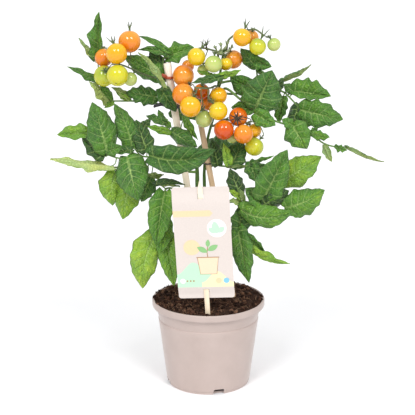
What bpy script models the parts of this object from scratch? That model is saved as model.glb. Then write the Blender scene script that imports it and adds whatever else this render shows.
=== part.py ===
"""Potted tomato plant: a nursery pot of peat with a fruiting bush on two canes, and a label card on a stick.

Metres, +Z up. The origin is the centre of the pot's underside, and the viewer stands towards -Y.
The constants and tables below are in millimetres. A spot in a table is (across, down, back): the pixel at
which the point shows in the 415-pixel photograph, and how far it lies behind the pot's axis in millimetres.
"""

import math
import random

import bmesh
import bpy
from mathutils import Matrix, Vector

MM = 0.001
CLEARANCE = 0.3
FACET_MARGIN = 0.1
SCRAP_REACH = 2.0
CUT_THROUGH = 6.0

# The viewpoint that turns a spot into a world point
EYE = Vector((-1.0, -1270.0, 544.0))
VIEW_TILT = 14.8
FOCAL_PIXELS = 1158.0
PHOTO_MIDDLE = 207.5

# Pot
POT_SIDES = 32
POT_HEIGHT = 101.0
POT_TOP_RADIUS = 65.0
RIM_HEIGHT = 8.0
WALL_TOP_RADIUS = 60.2
LEDGE_Z = 78.0
LEDGE_OUTER_RADIUS = 58.0
LEDGE_STEP = 0.8
FOOT_RADIUS = 48.6
FOOT_Z = 3.0
FOOT_INSET = 1.0
FOOT_EDGE = 0.6
WALL = 1.4
FLOOR = 2.0
INNER_CORNER = 2.0
RIM_THICKNESS = 2.4
RIM_LIP = 1.0
RIM_BEVEL = 1.2
RIM_UNDERCUT = 1.5
INNER_WALL = (
    (FOOT_RADIUS - WALL - FOOT_EDGE - INNER_CORNER, FLOOR),
    (FOOT_RADIUS - WALL - FOOT_EDGE, FLOOR + INNER_CORNER),
    (LEDGE_OUTER_RADIUS - LEDGE_STEP - WALL, LEDGE_Z),
    (WALL_TOP_RADIUS - WALL, POT_HEIGHT - RIM_HEIGHT),
    (POT_TOP_RADIUS - RIM_THICKNESS, POT_HEIGHT - RIM_LIP),
)
CHANNEL_RADII = (31.0, 41.0)
CHANNEL_DEPTH = 1.0
NOTCH_WIDTH = 12.5
NOTCH_HEIGHT = 6.5
NOTCH_DEPTH = 11.0
NOTCH_BELOW = 2.0
NOTCH_FIRST_ANGLE = -75.5
NOTCHES = 4

# Soil
SOIL_Z = 99.5
SOIL_LUMP = 2.2
SOIL_EDGE_RADIUS = 60.6
SOIL_EDGE_DROP = 1.5
SOIL_RINGS = (14.0, 29.0, 43.0, 55.5)
SOIL_SIDES = 24
SOIL_SEED = 11

# Canes, from a spot on the soil to a spot at the top, with the radii at both ends
CANE_SIDES = 12
CANE_DEPTH = 62.0
CANES = {
    "left": dict(foot=(205.5, 296.0, 6.0), top=(166.9, 63.0, 15.0), radii=(3.3, 4.3), colour="pale wood"),
    "right": dict(foot=(233.0, 296.0, 6.0), top=(198.4, 112.0, 7.0), radii=(3.3, 3.3), colour="tan wood"),
}

# Label: a card threaded on a flat pointed stick
STICK_FOOT = (208.0, 316.0, -54.0)
STICK_TOP = (199.5, 181.0, -72.0)
STICK_WIDTH = 5.4
STICK_THICKNESS = 1.2
STICK_POINT = 9.0
STICK_TIP_SHARE = 0.2
STICK_DEPTH = 30.0
LABEL_YAW = 4.0
CARD_WIDTH = 62.0
CARD_HEIGHT = 131.0
CARD_LIFT = 22.0
CARD_THICKNESS = 0.6
CARD_SLOT_HEIGHTS = (12.0, 118.0)
CARD_STEP_HEIGHT = 5.0
CARD_SLOT_SPARE = 0.4
CARD_CORNER = 2.5

# Stem: the main stem and the side stem that forks from it just above the soil
STEM_SIDES = 6
STEM_STEPS = 2
STEM_DEPTH = 45.0
STEM_TOP_OF_ROOT = 107.0
STEM_HOLE_SPARE = 1.6
HOLES_REACH = 20.0
STEM_MAIN = (
    (201.0, 283.0, 18.0),
    (199.0, 235.0, 18.0),
    (197.4, 187.0, 18.0),
    (196.6, 165.0, 18.0),
    (191.0, 138.0, 19.0),
    (183.0, 112.0, 20.0),
    (174.5, 90.0, 21.0),
    (171.5, 76.0, 22.0),
    (169.5, 62.0, 22.0),
)
STEM_MAIN_RADII = (2.9, 1.5)
STEM_SIDE = (
    (205.5, 270.0, 19.0),
    (207.0, 235.0, 19.0),
    (204.5, 187.0, 19.0),
    (204.6, 165.0, 19.0),
    (207.5, 140.0, 20.0),
    (214.0, 114.0, 20.0),
    (217.5, 90.0, 16.0),
    (221.0, 68.0, 11.0),
    (224.0, 49.0, 7.0),
)
STEM_SIDE_RADII = (2.2, 1.3)

# Ties: the cane and the stem that each holds, its height, its wire and the spots of its loose end
TIE_SIDES = 4
TIE_ARC_STEPS = 4
TIES = {
    "tie_orange": dict(
        cane="left",
        stem="main",
        height=355,
        radius=1.3,
        colour="orange plastic",
        end=[(165, 77, 9), (161.5, 75.5, 8)],
    ),
    "tie_black": dict(
        cane="left",
        stem="main",
        height=322,
        radius=1.5,
        colour="black plastic",
        end=[(169, 105, 10), (161, 105, 9), (153.5, 107, 8)],
    ),
    "tie_wire": dict(
        cane="right",
        stem="side",
        height=258,
        radius=0.6,
        colour="black plastic",
        end=[(213, 163, 3), (216, 158.5, 2)],
    ),
}

# Foliage
BLADE_THICKNESS = 0.8
STALK_SIDES = 4
STALK_RADII = (1.5, 0.9)
STALK_STUB = 2.5
LONG_STALK = 5
RIB_SIDES = 3
RIB_RADII = (0.85, 0.75)
RIB_REACH = 0.08
SHORTEST_PETIOLULE = 2.5
BLADE_SINK = 0.8
TEETH_FROM = 0.1
TEETH_SPAN = 0.8
TEETH_LEAN = 0.25
BLADE_TAPER = 0.9
BLADE_WIDEST = 0.5 / (0.5 + BLADE_TAPER)
BLADE_PEAK = math.sqrt(BLADE_WIDEST) * (1 - BLADE_WIDEST) ** BLADE_TAPER

# Trusses and fruits
PEDUNCLE_SIDES = 4
PEDUNCLE_RADII = (1.4, 1.0)
PEDICEL_RADII = (0.85, 0.8)
PEDICEL_KNEE = 3.0
SEPALS = 5
SEPAL_TURN = 0.25
SEPAL_RISE = 0.5
CALYX_HEIGHT = 1.6
CALYX_WAIST = 1.7
CALYX_WAIST_RISE = 0.55
FRUIT_SIDES = 10
FRUIT_RINGS = 5

COLOURS = {
    "pot": (0.67, 0.57, 0.51),
    "peat": (0.035, 0.02, 0.013),
    "pale wood": (0.85, 0.72, 0.55),
    "tan wood": (0.68, 0.45, 0.25),
    "orange plastic": (0.62, 0.13, 0.05),
    "black plastic": (0.02, 0.02, 0.025),
    "card": (0.87, 0.79, 0.70),
    "stem": (0.08, 0.17, 0.03),
    "leaf": (0.05, 0.16, 0.03),
    "calyx": (0.10, 0.20, 0.04),
    "red": (0.80, 0.09, 0.01),
    "orange": (0.86, 0.25, 0.02),
    "amber": (0.88, 0.42, 0.01),
    "yellow": (0.86, 0.62, 0.01),
    "lime": (0.50, 0.56, 0.03),
    "green": (0.50, 0.62, 0.20),
}
GLOSSY = ("red", "orange", "amber", "yellow", "lime", "green")
GLOSSY_ROUGHNESS = 0.2
DULL_ROUGHNESS = 0.6


def place(spot):
    """The world point of a spot."""
    across, down, back = spot
    right = (across - PHOTO_MIDDLE) / FOCAL_PIXELS
    up = (PHOTO_MIDDLE - down) / FOCAL_PIXELS
    tilt = math.radians(VIEW_TILT)
    ray = Vector((right, math.cos(tilt) + up * math.sin(tilt), up * math.cos(tilt) - math.sin(tilt)))
    return EYE + ray * ((back - EYE.y) / ray.y)


def blade(base, tip, wide, turn=0, fold=0, arch=0, sway=0, cut=0.2, teeth=2, skew=0):
    """A leaflet: where it starts and ends, its true width, and how it turns, folds, arches, sways and is cut."""
    return dict(
        base=base, tip=tip, wide=wide, turn=turn, fold=fold, arch=arch, sway=sway, cut=cut, teeth=teeth, skew=skew
    )


# Leaves: the stem they grow from, the height of that seat, the stalk's spots and the leaflets
LEAVES = {
    "leaf_upper_left": dict(
        stem="main",
        seat=316,
        stalk=[(172, 108, 24), (158, 104, 21), (145, 101, 15), (132.5, 101, 8), (119, 101, 6), (109, 101, 8)],
        branch=[(109, 101, 8), (101, 88, 17), (98.5, 70, 23), (98, 60, 23)],
        blades=[
            blade((98, 59, 23), (99.5, 12, 17), 20, turn=15, cut=0.5, skew=-0.5, arch=-0.04),
            blade((98.3, 61, 23), (79.2, 37.6, 14), 13, turn=62),
            blade((99, 82, 19), (68, 66, 8), 16, turn=58, fold=8),
            blade((109, 103, 7), (89.5, 81, -4), 17, turn=35, arch=0.05, cut=0.3),
            blade((152, 99, 16), (126, 92, 3), 24, turn=14, cut=0.35),
        ],
    ),
    "leaf_top_left": dict(
        stem="main",
        seat=334,
        stalk=[(166, 92, 22), (163.5, 84, 21), (163, 68, 19), (163, 58, 19)],
        branch=[(166, 92, 22), (162.5, 91.5, 13), (160.5, 90.5, 5), (163, 88.5, -2)],
        blades=[
            blade((164, 88, -4), (139, 52, -8), 15, turn=58, arch=0.04),
            blade((163, 77, 19), (124.4, 56, 14), 27, turn=-8, fold=-4, arch=0.04, teeth=3),
            blade((163, 63, 18), (138.5, 49.5, 13), 16, turn=35, fold=-14, arch=0.2),
            blade((163, 56, 19), (139, 35.5, 20), 15, turn=42, arch=0.05),
            blade((164, 58, 21), (194, 47, 27), 25, turn=-20, arch=0.05, cut=0.4),
            blade((160, 90, 5), (176, 112, 5), 21, turn=-6, cut=0.25),
        ],
    ),
    "leaf_between_trusses": dict(
        stem="side",
        seat=343,
        stalk=[(222, 80, -2), (223, 77, -14)],
        branch=None,
        blades=[
            blade((222, 76.5, -15), (192, 82.5, -20), 9, turn=25, cut=0.3),
            blade((223, 76, -14), (240, 70.5, -12), 13, turn=60, arch=0.05),
        ],
    ),
    "leaf_right_long": dict(
        stem="side",
        seat=336,
        stalk=[
            (226, 88.5, 2),
            (240.7, 99.6, -2),
            (253, 108.5, -6),
            (264, 116, -7),
            (276.3, 121.4, -9),
            (292, 126.5, -10),
            (311, 134, -12),
            (323, 143, -13),
            (335, 146.7, -14),
            (347, 147, -15),
        ],
        branch=None,
        blades=[
            blade((254, 108, -7), (272, 70.5, -17), 47, turn=8, fold=-7, arch=0.06, cut=0.16, teeth=3),
            blade((256, 112, -8), (275.5, 125.5, -17), 22, turn=12, fold=6, cut=0.1),
            blade((253, 108.5, -5), (231, 107, 4), 18, turn=15, cut=0.12),
            blade((293, 127, -11), (307, 149, -18), 30, turn=12, fold=-8, arch=0.06, cut=0.12),
            blade((311, 134, -13), (329.5, 137.5, -20), 15, turn=35, fold=12, cut=0.5),
            blade((335, 146.5, -15), (347, 150.5, -23), 10, turn=25, cut=0.5),
            blade((324.7, 144.5, -13), (331.6, 162, -17), 11, turn=30, arch=0.05),
            blade((346, 147, -15), (383.8, 162.4, -23), 13, turn=72, arch=0.05),
        ],
    ),
    "leaf_right_upper": dict(
        stem="side",
        seat=349,
        stalk=[(234, 81, 20), (256, 84, 18), (281, 91, 8), (288.4, 96.2, 6), (297, 105.3, 4), (302, 110, 2)],
        branch=[(281, 91, 8), (280.5, 80, 10)],
        blades=[
            blade((301, 109.5, 2), (343, 119.4, -10), 33, turn=8, fold=-6, arch=0.07, cut=0.25, teeth=3),
            blade((294, 90.5, 6), (331, 96, -4), 27, turn=-10, fold=6, cut=0.3, teeth=3, skew=-0.3),
            blade((281, 79.5, 10), (311.4, 65.2, 4), 15, turn=68, sway=0.03),
            blade((284, 98, 8), (278, 123, 6), 18, turn=15, cut=0.45),
            blade((297, 106, 5), (291, 128.5, 3), 25, turn=20, fold=-8),
        ],
    ),
    "leaf_top_right": dict(
        stem="side",
        seat=338,
        stalk=[(232, 94, 24), (252, 90, 24), (257, 79, 18), (256.4, 70, 10), (256, 66, 8)],
        branch=None,
        blades=[
            blade((256, 66.5, 8), (242.6, 51, 5), 16, turn=-20, arch=0.05),
            blade((256, 66, 8), (271, 68, 1), 13, turn=28),
            blade((256, 69, 9), (267, 78.5, 2), 13, turn=50),
            blade((251.5, 85, 24), (239, 90, 16), 16, turn=25),
        ],
    ),
    "leaf_right_middle": dict(
        stem="side",
        seat=212,
        stalk=[
            (223, 203, 14),
            (232, 202, -4),
            (241, 203.5, -24),
            (253, 206.5, -30),
            (264, 205, -33),
            (276, 203, -35),
            (289, 205.5, -38),
        ],
        branch=None,
        blades=[
            blade(
                (264, 201, -33), (287.5, 150, -40), 38, turn=12, fold=9, arch=0.05, cut=0.12, teeth=3, skew=-0.12
            ),
            blade((279, 184, -25), (321.2, 156.5, -30), 33, turn=-8, arch=0.05, skew=-0.08),
            blade((289, 205.5, -38), (324.5, 190, -48), 34, turn=4, fold=-8, arch=0.08, sway=0.06, teeth=3),
            blade(
                (243, 208, -31), (293, 212, -52), 30, turn=18, fold=-8, arch=0.06, sway=0.12, cut=0.12, teeth=3
            ),
            blade((261, 204, -33), (245.5, 188, -36), 21, turn=18, cut=0.12),
            blade((263, 205, -35), (289, 191, -44), 25, turn=18, cut=0.15),
            blade((238, 196, -26), (230, 168.5, -22), 21, turn=12, cut=0.3),
            blade((239, 198, -26), (228, 189.5, -34), 9, turn=35, cut=0.4),
            blade((240, 203.5, -26), (229, 200, -36), 10, turn=35, cut=0.4),
        ],
    ),
    "leaf_right_lower": dict(
        stem="side",
        seat=198,
        stalk=[(226, 217, 13), (231, 221, -6), (237, 228, -26), (243, 237, -32), (249, 248, -33)],
        branch=None,
        blades=[
            blade((237, 228.5, -29), (249, 283, -44), 25, turn=10, fold=7, arch=0.06, cut=0.16, teeth=3),
            blade((237, 229, -29), (240, 206, -22), 25, turn=15, cut=0.15),
            blade((247, 234, -31), (265, 253, -27), 15, turn=35),
            blade((249.5, 248, -33), (289.5, 264.5, -44), 16, turn=45, sway=0.1, cut=0.35),
        ],
    ),
    "leaf_left_middle": dict(
        stem="main",
        seat=246,
        stalk=[
            (180, 171, 15), (166, 167, -4), (148, 163, -18), (130, 159.5, -27), (118, 158, -29), (108, 155, -30),
        ],
        branch=[(130, 159.5, -27), (124, 170, -26), (119, 183, -24)],
        blades=[
            blade(
                (108.5, 156, -30), (92.4, 102.4, -40), 36, turn=10, fold=-6, arch=0.07, cut=0.1, teeth=3, skew=0.08
            ),
            blade((125, 158, -29), (138, 200.5, -53), 40, turn=8, fold=-7, arch=0.07, cut=0.1, teeth=3),
            blade((91, 133, -27), (57, 134.5, -24), 17, turn=12, cut=0.45, skew=0.2),
            blade((114, 167, -28), (50.7, 157.2, -22), 22, turn=64, sway=-0.04, cut=0.45, teeth=3),
            blade((119, 172, -25), (113, 206, -22), 29, turn=-14, arch=0.05, sway=0.1, cut=0.1),
            blade((130, 180, -24), (122.5, 219.5, -32), 31, turn=10, arch=0.05, cut=0.12),
            blade((151, 178, -19), (141, 202, -16), 22, turn=12, cut=0.3, teeth=3),
        ],
    ),
    "leaf_left_centre": dict(
        stem="main",
        seat=256,
        stalk=[(178, 160, 17.5), (165, 158, -6), (150, 157, -20), (141, 155.5, -23), (134, 148, -22)],
        branch=[(150, 157, -20), (149, 154, -32)],
        blades=[
            blade(
                (133.5, 147.5, -21), (114.5, 103.5, -20), 26, turn=10, fold=-6, arch=0.05, sway=0.05, teeth=3
            ),
            blade(
                (149, 153.5, -32), (217, 150.5, -38), 36, turn=-4, fold=9, arch=0.05, sway=0.12, cut=0.08, teeth=3
            ),
            blade((150, 155, -21), (136, 119.5, -15), 23, turn=10),
        ],
    ),
    "leaf_centre_small": dict(
        stem="main",
        seat=293,
        stalk=[(188, 134, 9), (181, 132.5, 1), (173.5, 132, -3), (168, 129.5, -6)],
        branch=None,
        blades=[
            blade((170, 132.5, -9), (147.4, 126.2, -20), 10, turn=25, fold=14),
            blade((172, 132, -4), (197, 147, -24), 21, turn=10, fold=-12, arch=0.06, cut=0.1),
            blade((168, 128.5, -8), (146, 115.5, -8), 12, turn=15, cut=0.4),
            blade((169, 130, -8), (163, 117, -3), 8, turn=20, cut=0.3),
        ],
    ),
    "leaf_left_lower": dict(
        stem="main",
        seat=222,
        stalk=[
            (184, 193, 14), (175, 189, -8), (166, 189, -23), (164, 200, -26), (165, 220, -27), (167, 234, -28),
        ],
        branch=[(166, 189, -23), (158, 183, -24)],
        blades=[
            blade((165, 191.5, -28), (156, 246, -44), 31, turn=10, fold=6, arch=0.06, cut=0.08, teeth=3),
            blade((165.5, 224, -28), (161, 252, -42), 22, turn=20),
            blade(
                (156, 233, -27), (143, 289, -34), 36, turn=-15, fold=-8, arch=0.08, sway=0.1, cut=0.08, teeth=3
            ),
            blade((168, 233, -28), (174, 286.4, -44), 25, turn=10, cut=0.1, teeth=3),
            blade((158, 184, -25), (185, 185.5, -31), 12, turn=50, sway=-0.13),
            blade((158, 182.5, -25), (180, 187, -26), 6, turn=55, sway=-0.1),
        ],
    ),
    "leaf_below_truss": dict(
        stem="side",
        seat=250,
        stalk=[(214, 165, 15), (222, 166, 0), (231, 167, -11), (241, 168, -14), (250, 163, -14)],
        branch=None,
        blades=[
            blade((232, 166.5, -12), (243, 140, 4), 26, turn=-10, fold=8),
            blade((229, 166, -10), (223.5, 143, -9), 13, turn=25),
            blade((249.5, 163, -14), (258, 183, -24), 19, turn=15, cut=0.25),
            blade((250, 163, -13), (274, 156.5, -14), 8, turn=62),
        ],
    ),
    "leaf_back_upper": dict(
        stem="main",
        seat=307,
        stalk=[(184, 119, 34), (189, 112, 60), (194, 104, 88)],
        branch=None,
        blades=[
            blade((194, 104, 86), (199, 96, 130), 30, turn=20, fold=-8, arch=0.08, cut=0.25, teeth=3),
            blade((190, 109, 72), (176, 107, 100), 22, turn=15, cut=0.2),
            blade((190, 110, 70), (210, 100, 92), 24, turn=15, cut=0.2),
            blade((187, 114, 50), (168, 113, 60), 24, turn=20, cut=0.3),
            blade((187, 114, 50), (207, 107, 58), 22, turn=20, cut=0.3),
        ],
    ),
    "leaf_back_lower": dict(
        stem="side",
        seat=262,
        stalk=[(211, 152, 36), (216, 147, 60), (222, 140, 86)],
        branch=None,
        blades=[
            blade((222, 140, 84), (229, 134, 128), 30, turn=20, fold=-8, arch=0.08, cut=0.25, teeth=3),
            blade((218, 145, 70), (203, 144, 96), 24, turn=15, cut=0.2),
            blade((218, 145, 70), (240, 138, 92), 25, turn=15, cut=0.2),
            blade((213.5, 150, 48), (196, 150, 60), 24, turn=20, cut=0.3),
            blade((213.5, 150, 48), (233, 146, 58), 22, turn=20, cut=0.3),
        ],
    ),
}


def fruit(spot, size, colour, top, via=(), sepals=7.0, lift=28.0):
    """A tomato: its middle, diameter and colour, which way its calyx points, and the spots its pedicel passes."""
    return dict(spot=spot, size=size, colour=colour, top=top, via=via, sepals=sepals, lift=lift)


# Trusses: the stem they grow from, the height of that seat, the peduncle's spots and the fruits
TRUSSES = {
    "left": dict(
        stem="main",
        seat=348,
        stalk=[
            (166.5, 81, 20), (163, 80, 14), (155, 78, 9), (143, 74, 4), (133, 69.5, 1), (122, 65, -1), (112, 64, 0),
        ],
        fruits=[
            fruit(
                (129.6, 41.6, 0), 24.6, "orange", (0, 0.1, 1), [(130, 29, 9), (131, 44, 18), (130, 60, 8)], 6, 50
            ),
            fruit((116.7, 53.7, -16), 23.0, "amber", (-0.3, 0.5, 0.8), [(117, 47, -1), (120, 57, 3)], 7, 30),
            fruit((103.8, 57.7, 8), 20.0, "orange", (-0.1, 0.6, 0.75), [(107, 49, 23), (116, 58, 17)], 6, 20),
            fruit((104.4, 76, -2), 23.4, "lime", (0.2, -0.8, 0.56), [(109.5, 67, -12)], 5.5, 8),
            fruit((117.6, 75.5, -20.5), 23.6, "lime", (0.1, 0.75, 0.62), [(121, 66, -7)], 4.5, 14),
            fruit((130.2, 79, -5), 15.6, "green", (0.5, 0.3, 0.8), [], 5, 15),
        ],
    ),
    "top": dict(
        stem="side",
        seat=373,
        stalk=[(217, 52.5, 4), (210, 49.5, 2), (203, 48, 2), (198, 48.5, 6)],
        fruits=[
            fruit((196.5, 56.8, -6), 20.0, "yellow", (0.5, 0.15, 0.85), [], 11, 55),
            fruit((213.6, 64, -12), 19.0, "green", (0.1, 0.3, 0.95), [(214.5, 53.5, -3)], 7, 30),
            fruit((225.8, 64, -1.5), 14.5, "yellow", (-0.1, -0.1, 1), [(224.5, 55, -2)], 6, 20),
            fruit(
                (233.2, 59.5, 14), 21.0, "orange", (-0.3, -0.2, 0.93), [(229, 52, 6), (222, 55, -1)], 3.8, 25
            ),
            fruit((188, 66, 23), 14.0, "orange", (0.3, 0.3, 0.9), [(193, 54, 18)], 5, 20),
            fruit((202.7, 70, 1), 12.0, "green", (0.1, 0.5, 0.85), [(205, 58, 7)], 5, 20),
        ],
    ),
    "middle": dict(
        stem="side",
        seat=338,
        stalk=[(216, 86, 0), (210, 88, -13), (200, 88, -16), (194.5, 87.5, -15)],
        fruits=[
            fruit((183.4, 75.7, 6), 24.0, "orange", (0.55, -0.6, -0.58), [(193, 84.5, -9)], 3.5, 20),
            fruit((183.3, 94.6, -9.5), 24.8, "orange", (0.88, -0.2, 0.3), [], 6, 10),
            fruit((190.4, 106.8, -28.5), 23.0, "amber", (0.3, 0.4, 0.87), [(196, 93, -19)], 6, 15),
            fruit((204, 119, -12), 19.0, "green", (-0.15, 0, 1), [(203, 103, -14), (201, 94, -16)], 7, 30),
            fruit((218.3, 111, -21), 20.6, "yellow", (-0.55, 0.1, 0.83), [(209, 98, -18)], 6, 15),
            fruit((218.5, 95.6, -5), 19.0, "amber", (-0.82, -0.4, -0.35), [(208, 95, -14)], 5, 8),
            fruit((201.6, 91.5, 1.5), 18.0, "red", (0.1, -0.5, 0.85), [], 4, 15),
            fruit(
                (207.8, 103.3, 9.5), 16.0, "orange", (0.3, 0.4, 0.87), [(211.5, 92, 9), (214, 86.5, 1)], 5, 20
            ),
        ],
    ),
    "right": dict(
        stem="side",
        seat=300,
        stalk=[(224, 119.5, 8), (234, 121.5, 4), (244, 123, 0), (250, 122, -8), (251, 121, -14)],
        fruits=[
            fruit((223.9, 129.9, -24), 22.0, "red", (0.3, 0.45, 0.84), [(227, 119.5, -8)], 3.5, 25),
            fruit((243.4, 134.1, -24), 21.4, "orange", (0.35, 0.4, 0.85), [], 4, 15),
            fruit(
                (238.2, 116.9, -14), 20.6, "red", (-0.15, -0.97, 0.05), [(243, 117, -28), (250, 119, -22)], 9, 10
            ),
            fruit(
                (254.3, 146.7, -12), 21.0, "lime", (0.6, 0.1, 0.79), [(263.5, 134, -14), (259, 125, -14)], 6, 25
            ),
            fruit((254.3, 130.7, -3), 16.0, "amber", (-0.55, 0.5, 0.67), [], 3.5, 15),
            fruit((232, 138, -9), 12.0, "green", (0, 0.5, 0.85), [(233, 128, 0)], 4, 20),
        ],
    ),
    "top_right": dict(
        stem="side",
        seat=386,
        stalk=[
            (228, 41, 8), (233, 36, 9), (241, 30.5, 10), (249, 30, 5), (255.5, 29.5, 0), (263.9, 35.5, -2),
        ],
        fruits=[
            fruit((242.1, 37.4, -4), 20.0, "amber", (0.3, 0.3, 0.9), [(246.5, 26.5, 3)], 9, 50),
            fruit((251.5, 37.5, 15), 16.0, "orange", (0.1, -0.4, 0.9), [], 5, 20),
            fruit((257.6, 46.6, -4), 18.8, "lime", (0.4, 0.1, 0.9), [], 10, 50),
            fruit((273.9, 44.6, -2), 14.8, "green", (-0.5, 0.1, 0.85), [(268, 37, -1)], 6, 30),
        ],
    ),
}


def clear_scene():
    for item in list(bpy.data.objects):
        bpy.data.objects.remove(item, do_unlink=True)


def material(colour):
    name = colour.replace(" ", "_")
    made = bpy.data.materials.get(name)
    if made is None:
        made = bpy.data.materials.new(name)
        made.use_nodes = True
        shader = made.node_tree.nodes["Principled BSDF"]
        shader.inputs["Base Color"].default_value = (*COLOURS[colour], 1.0)
        shader.inputs["Roughness"].default_value = GLOSSY_ROUGHNESS if colour in GLOSSY else DULL_ROUGHNESS
        shader.inputs["Metallic"].default_value = 0.0
    return made


def add_object(name, vertices, faces, colour=None):
    """An object from points in millimetres."""
    mesh = bpy.data.meshes.new(name)
    mesh.from_pydata([tuple(Vector(vertex) * MM) for vertex in vertices], [], faces)
    if colour:
        mesh.materials.append(material(colour))
    made = bpy.data.objects.new(name, mesh)
    bpy.context.scene.collection.objects.link(made)
    return made


def smooth_path(points, steps=2):
    """Points along a smooth curve through the given points."""
    ends = [points[0] * 2 - points[1], *points, points[-1] * 2 - points[-2]]
    path = [points[0]]
    for before, start, end, after in zip(ends, ends[1:], ends[2:], ends[3:]):
        for step in range(1, steps + 1):
            t = step / steps
            path.append(
                0.5
                * (
                    2 * start
                    + (end - before) * t
                    + (2 * before - 5 * start + 4 * end - after) * t * t
                    + (3 * start - before - 3 * end + after) * t**3
                )
            )
    return path


def tube(path, radii, sides):
    """A closed round tube along a path, its radius running evenly between the two given ones."""
    vertices, faces = [], []
    side = None
    for index, point in enumerate(path):
        along = (path[min(index + 1, len(path) - 1)] - path[max(index - 1, 0)]).normalized()
        if side is None:
            side = along.orthogonal().normalized()
        side = (side - along * side.dot(along)).normalized()
        other = along.cross(side)
        radius = radii[0] + (radii[1] - radii[0]) * index / (len(path) - 1)
        for corner in range(sides):
            angle = 2 * math.pi * corner / sides
            vertices.append(point + (side * math.cos(angle) + other * math.sin(angle)) * radius)
    for ring in range(len(path) - 1):
        for corner in range(sides):
            first = ring * sides + corner
            second = ring * sides + (corner + 1) % sides
            faces.append((first, second, second + sides, first + sides))
    faces.append(tuple(reversed(range(sides))))
    faces.append(tuple(range(len(vertices) - sides, len(vertices))))
    return vertices, faces


def join(name, pieces, colour, solver="EXACT"):
    """One object from overlapping closed pieces, by a Boolean union whose helpers are removed."""
    base = add_object(name, *pieces[0], colour)
    helpers = bpy.data.collections.new(name + "_pieces")
    bpy.context.scene.collection.children.link(helpers)
    for vertices, faces in pieces[1:]:
        helper = add_object(name + "_piece", vertices, faces)
        bpy.context.scene.collection.objects.unlink(helper)
        helpers.objects.link(helper)
    union = base.modifiers.new("union", "BOOLEAN")
    union.operation = "UNION"
    union.operand_type = "COLLECTION"
    union.collection = helpers
    union.solver = solver
    apply_modifiers(base)
    for helper in list(helpers.objects):
        bpy.data.objects.remove(helper, do_unlink=True)
    bpy.data.collections.remove(helpers)
    drop_scraps(base)
    return base


def drop_scraps(item):
    """Deletes the specks that a union can leave beside the body."""
    shape = bmesh.new()
    shape.from_mesh(item.data)
    waiting = set(shape.verts)
    while waiting:
        island = {waiting.pop()}
        edge = list(island)
        while edge:
            corner = edge.pop()
            found = {link.other_vert(corner) for link in corner.link_edges} - island
            island |= found
            edge += found
        waiting -= island
        reach = max((first.co - next(iter(island)).co).length for first in island)
        if reach < SCRAP_REACH * MM:
            bmesh.ops.delete(shape, geom=list(island), context="VERTS")
    shape.to_mesh(item.data)
    shape.free()


def apply_modifiers(item):
    graph = bpy.context.evaluated_depsgraph_get()
    made = bpy.data.meshes.new_from_object(item.evaluated_get(graph))
    item.modifiers.clear()
    item.data = made


def carve(item, cutters):
    """Cuts closed shapes from an object."""
    helpers = bpy.data.collections.new(item.name + "_cutters")
    bpy.context.scene.collection.children.link(helpers)
    for vertices, faces in cutters:
        helper = add_object(item.name + "_cutter", vertices, faces)
        bpy.context.scene.collection.objects.unlink(helper)
        helpers.objects.link(helper)
    cut = item.modifiers.new("cut", "BOOLEAN")
    cut.operation = "DIFFERENCE"
    cut.operand_type = "COLLECTION"
    cut.collection = helpers
    apply_modifiers(item)
    for helper in list(helpers.objects):
        bpy.data.objects.remove(helper, do_unlink=True)
    bpy.data.collections.remove(helpers)


def box(middle, size, turn=None):
    """A closed box; turn is a rotation matrix."""
    half = Vector(size) / 2
    corners = [
        Vector((x * half.x, y * half.y, z * half.z)) for x in (-1, 1) for y in (-1, 1) for z in (-1, 1)
    ]
    if turn is not None:
        corners = [turn @ corner for corner in corners]
    vertices = [Vector(middle) + corner for corner in corners]
    faces = [(0, 1, 3, 2), (4, 6, 7, 5), (0, 4, 5, 1), (2, 3, 7, 6), (0, 2, 6, 4), (1, 5, 7, 3)]
    return vertices, faces


def turned(name, profile, sides, colour):
    """A solid of revolution about Z from a (radius, height) profile that starts and ends on the axis."""
    vertices, faces, rings = [], [], []
    for radius, height in profile:
        if radius == 0:
            vertices.append(Vector((0, 0, height)))
            rings.append([len(vertices) - 1] * sides)
            continue
        rings.append(list(range(len(vertices), len(vertices) + sides)))
        for side in range(sides):
            angle = 2 * math.pi * side / sides
            vertices.append(Vector((radius * math.cos(angle), radius * math.sin(angle), height)))
    for lower, upper in zip(rings, rings[1:]):
        for side in range(sides):
            following = (side + 1) % sides
            corners = (lower[side], lower[following], upper[following], upper[side])
            faces.append(tuple(dict.fromkeys(corners)))
    return add_object(name, vertices, faces, colour)


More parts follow.
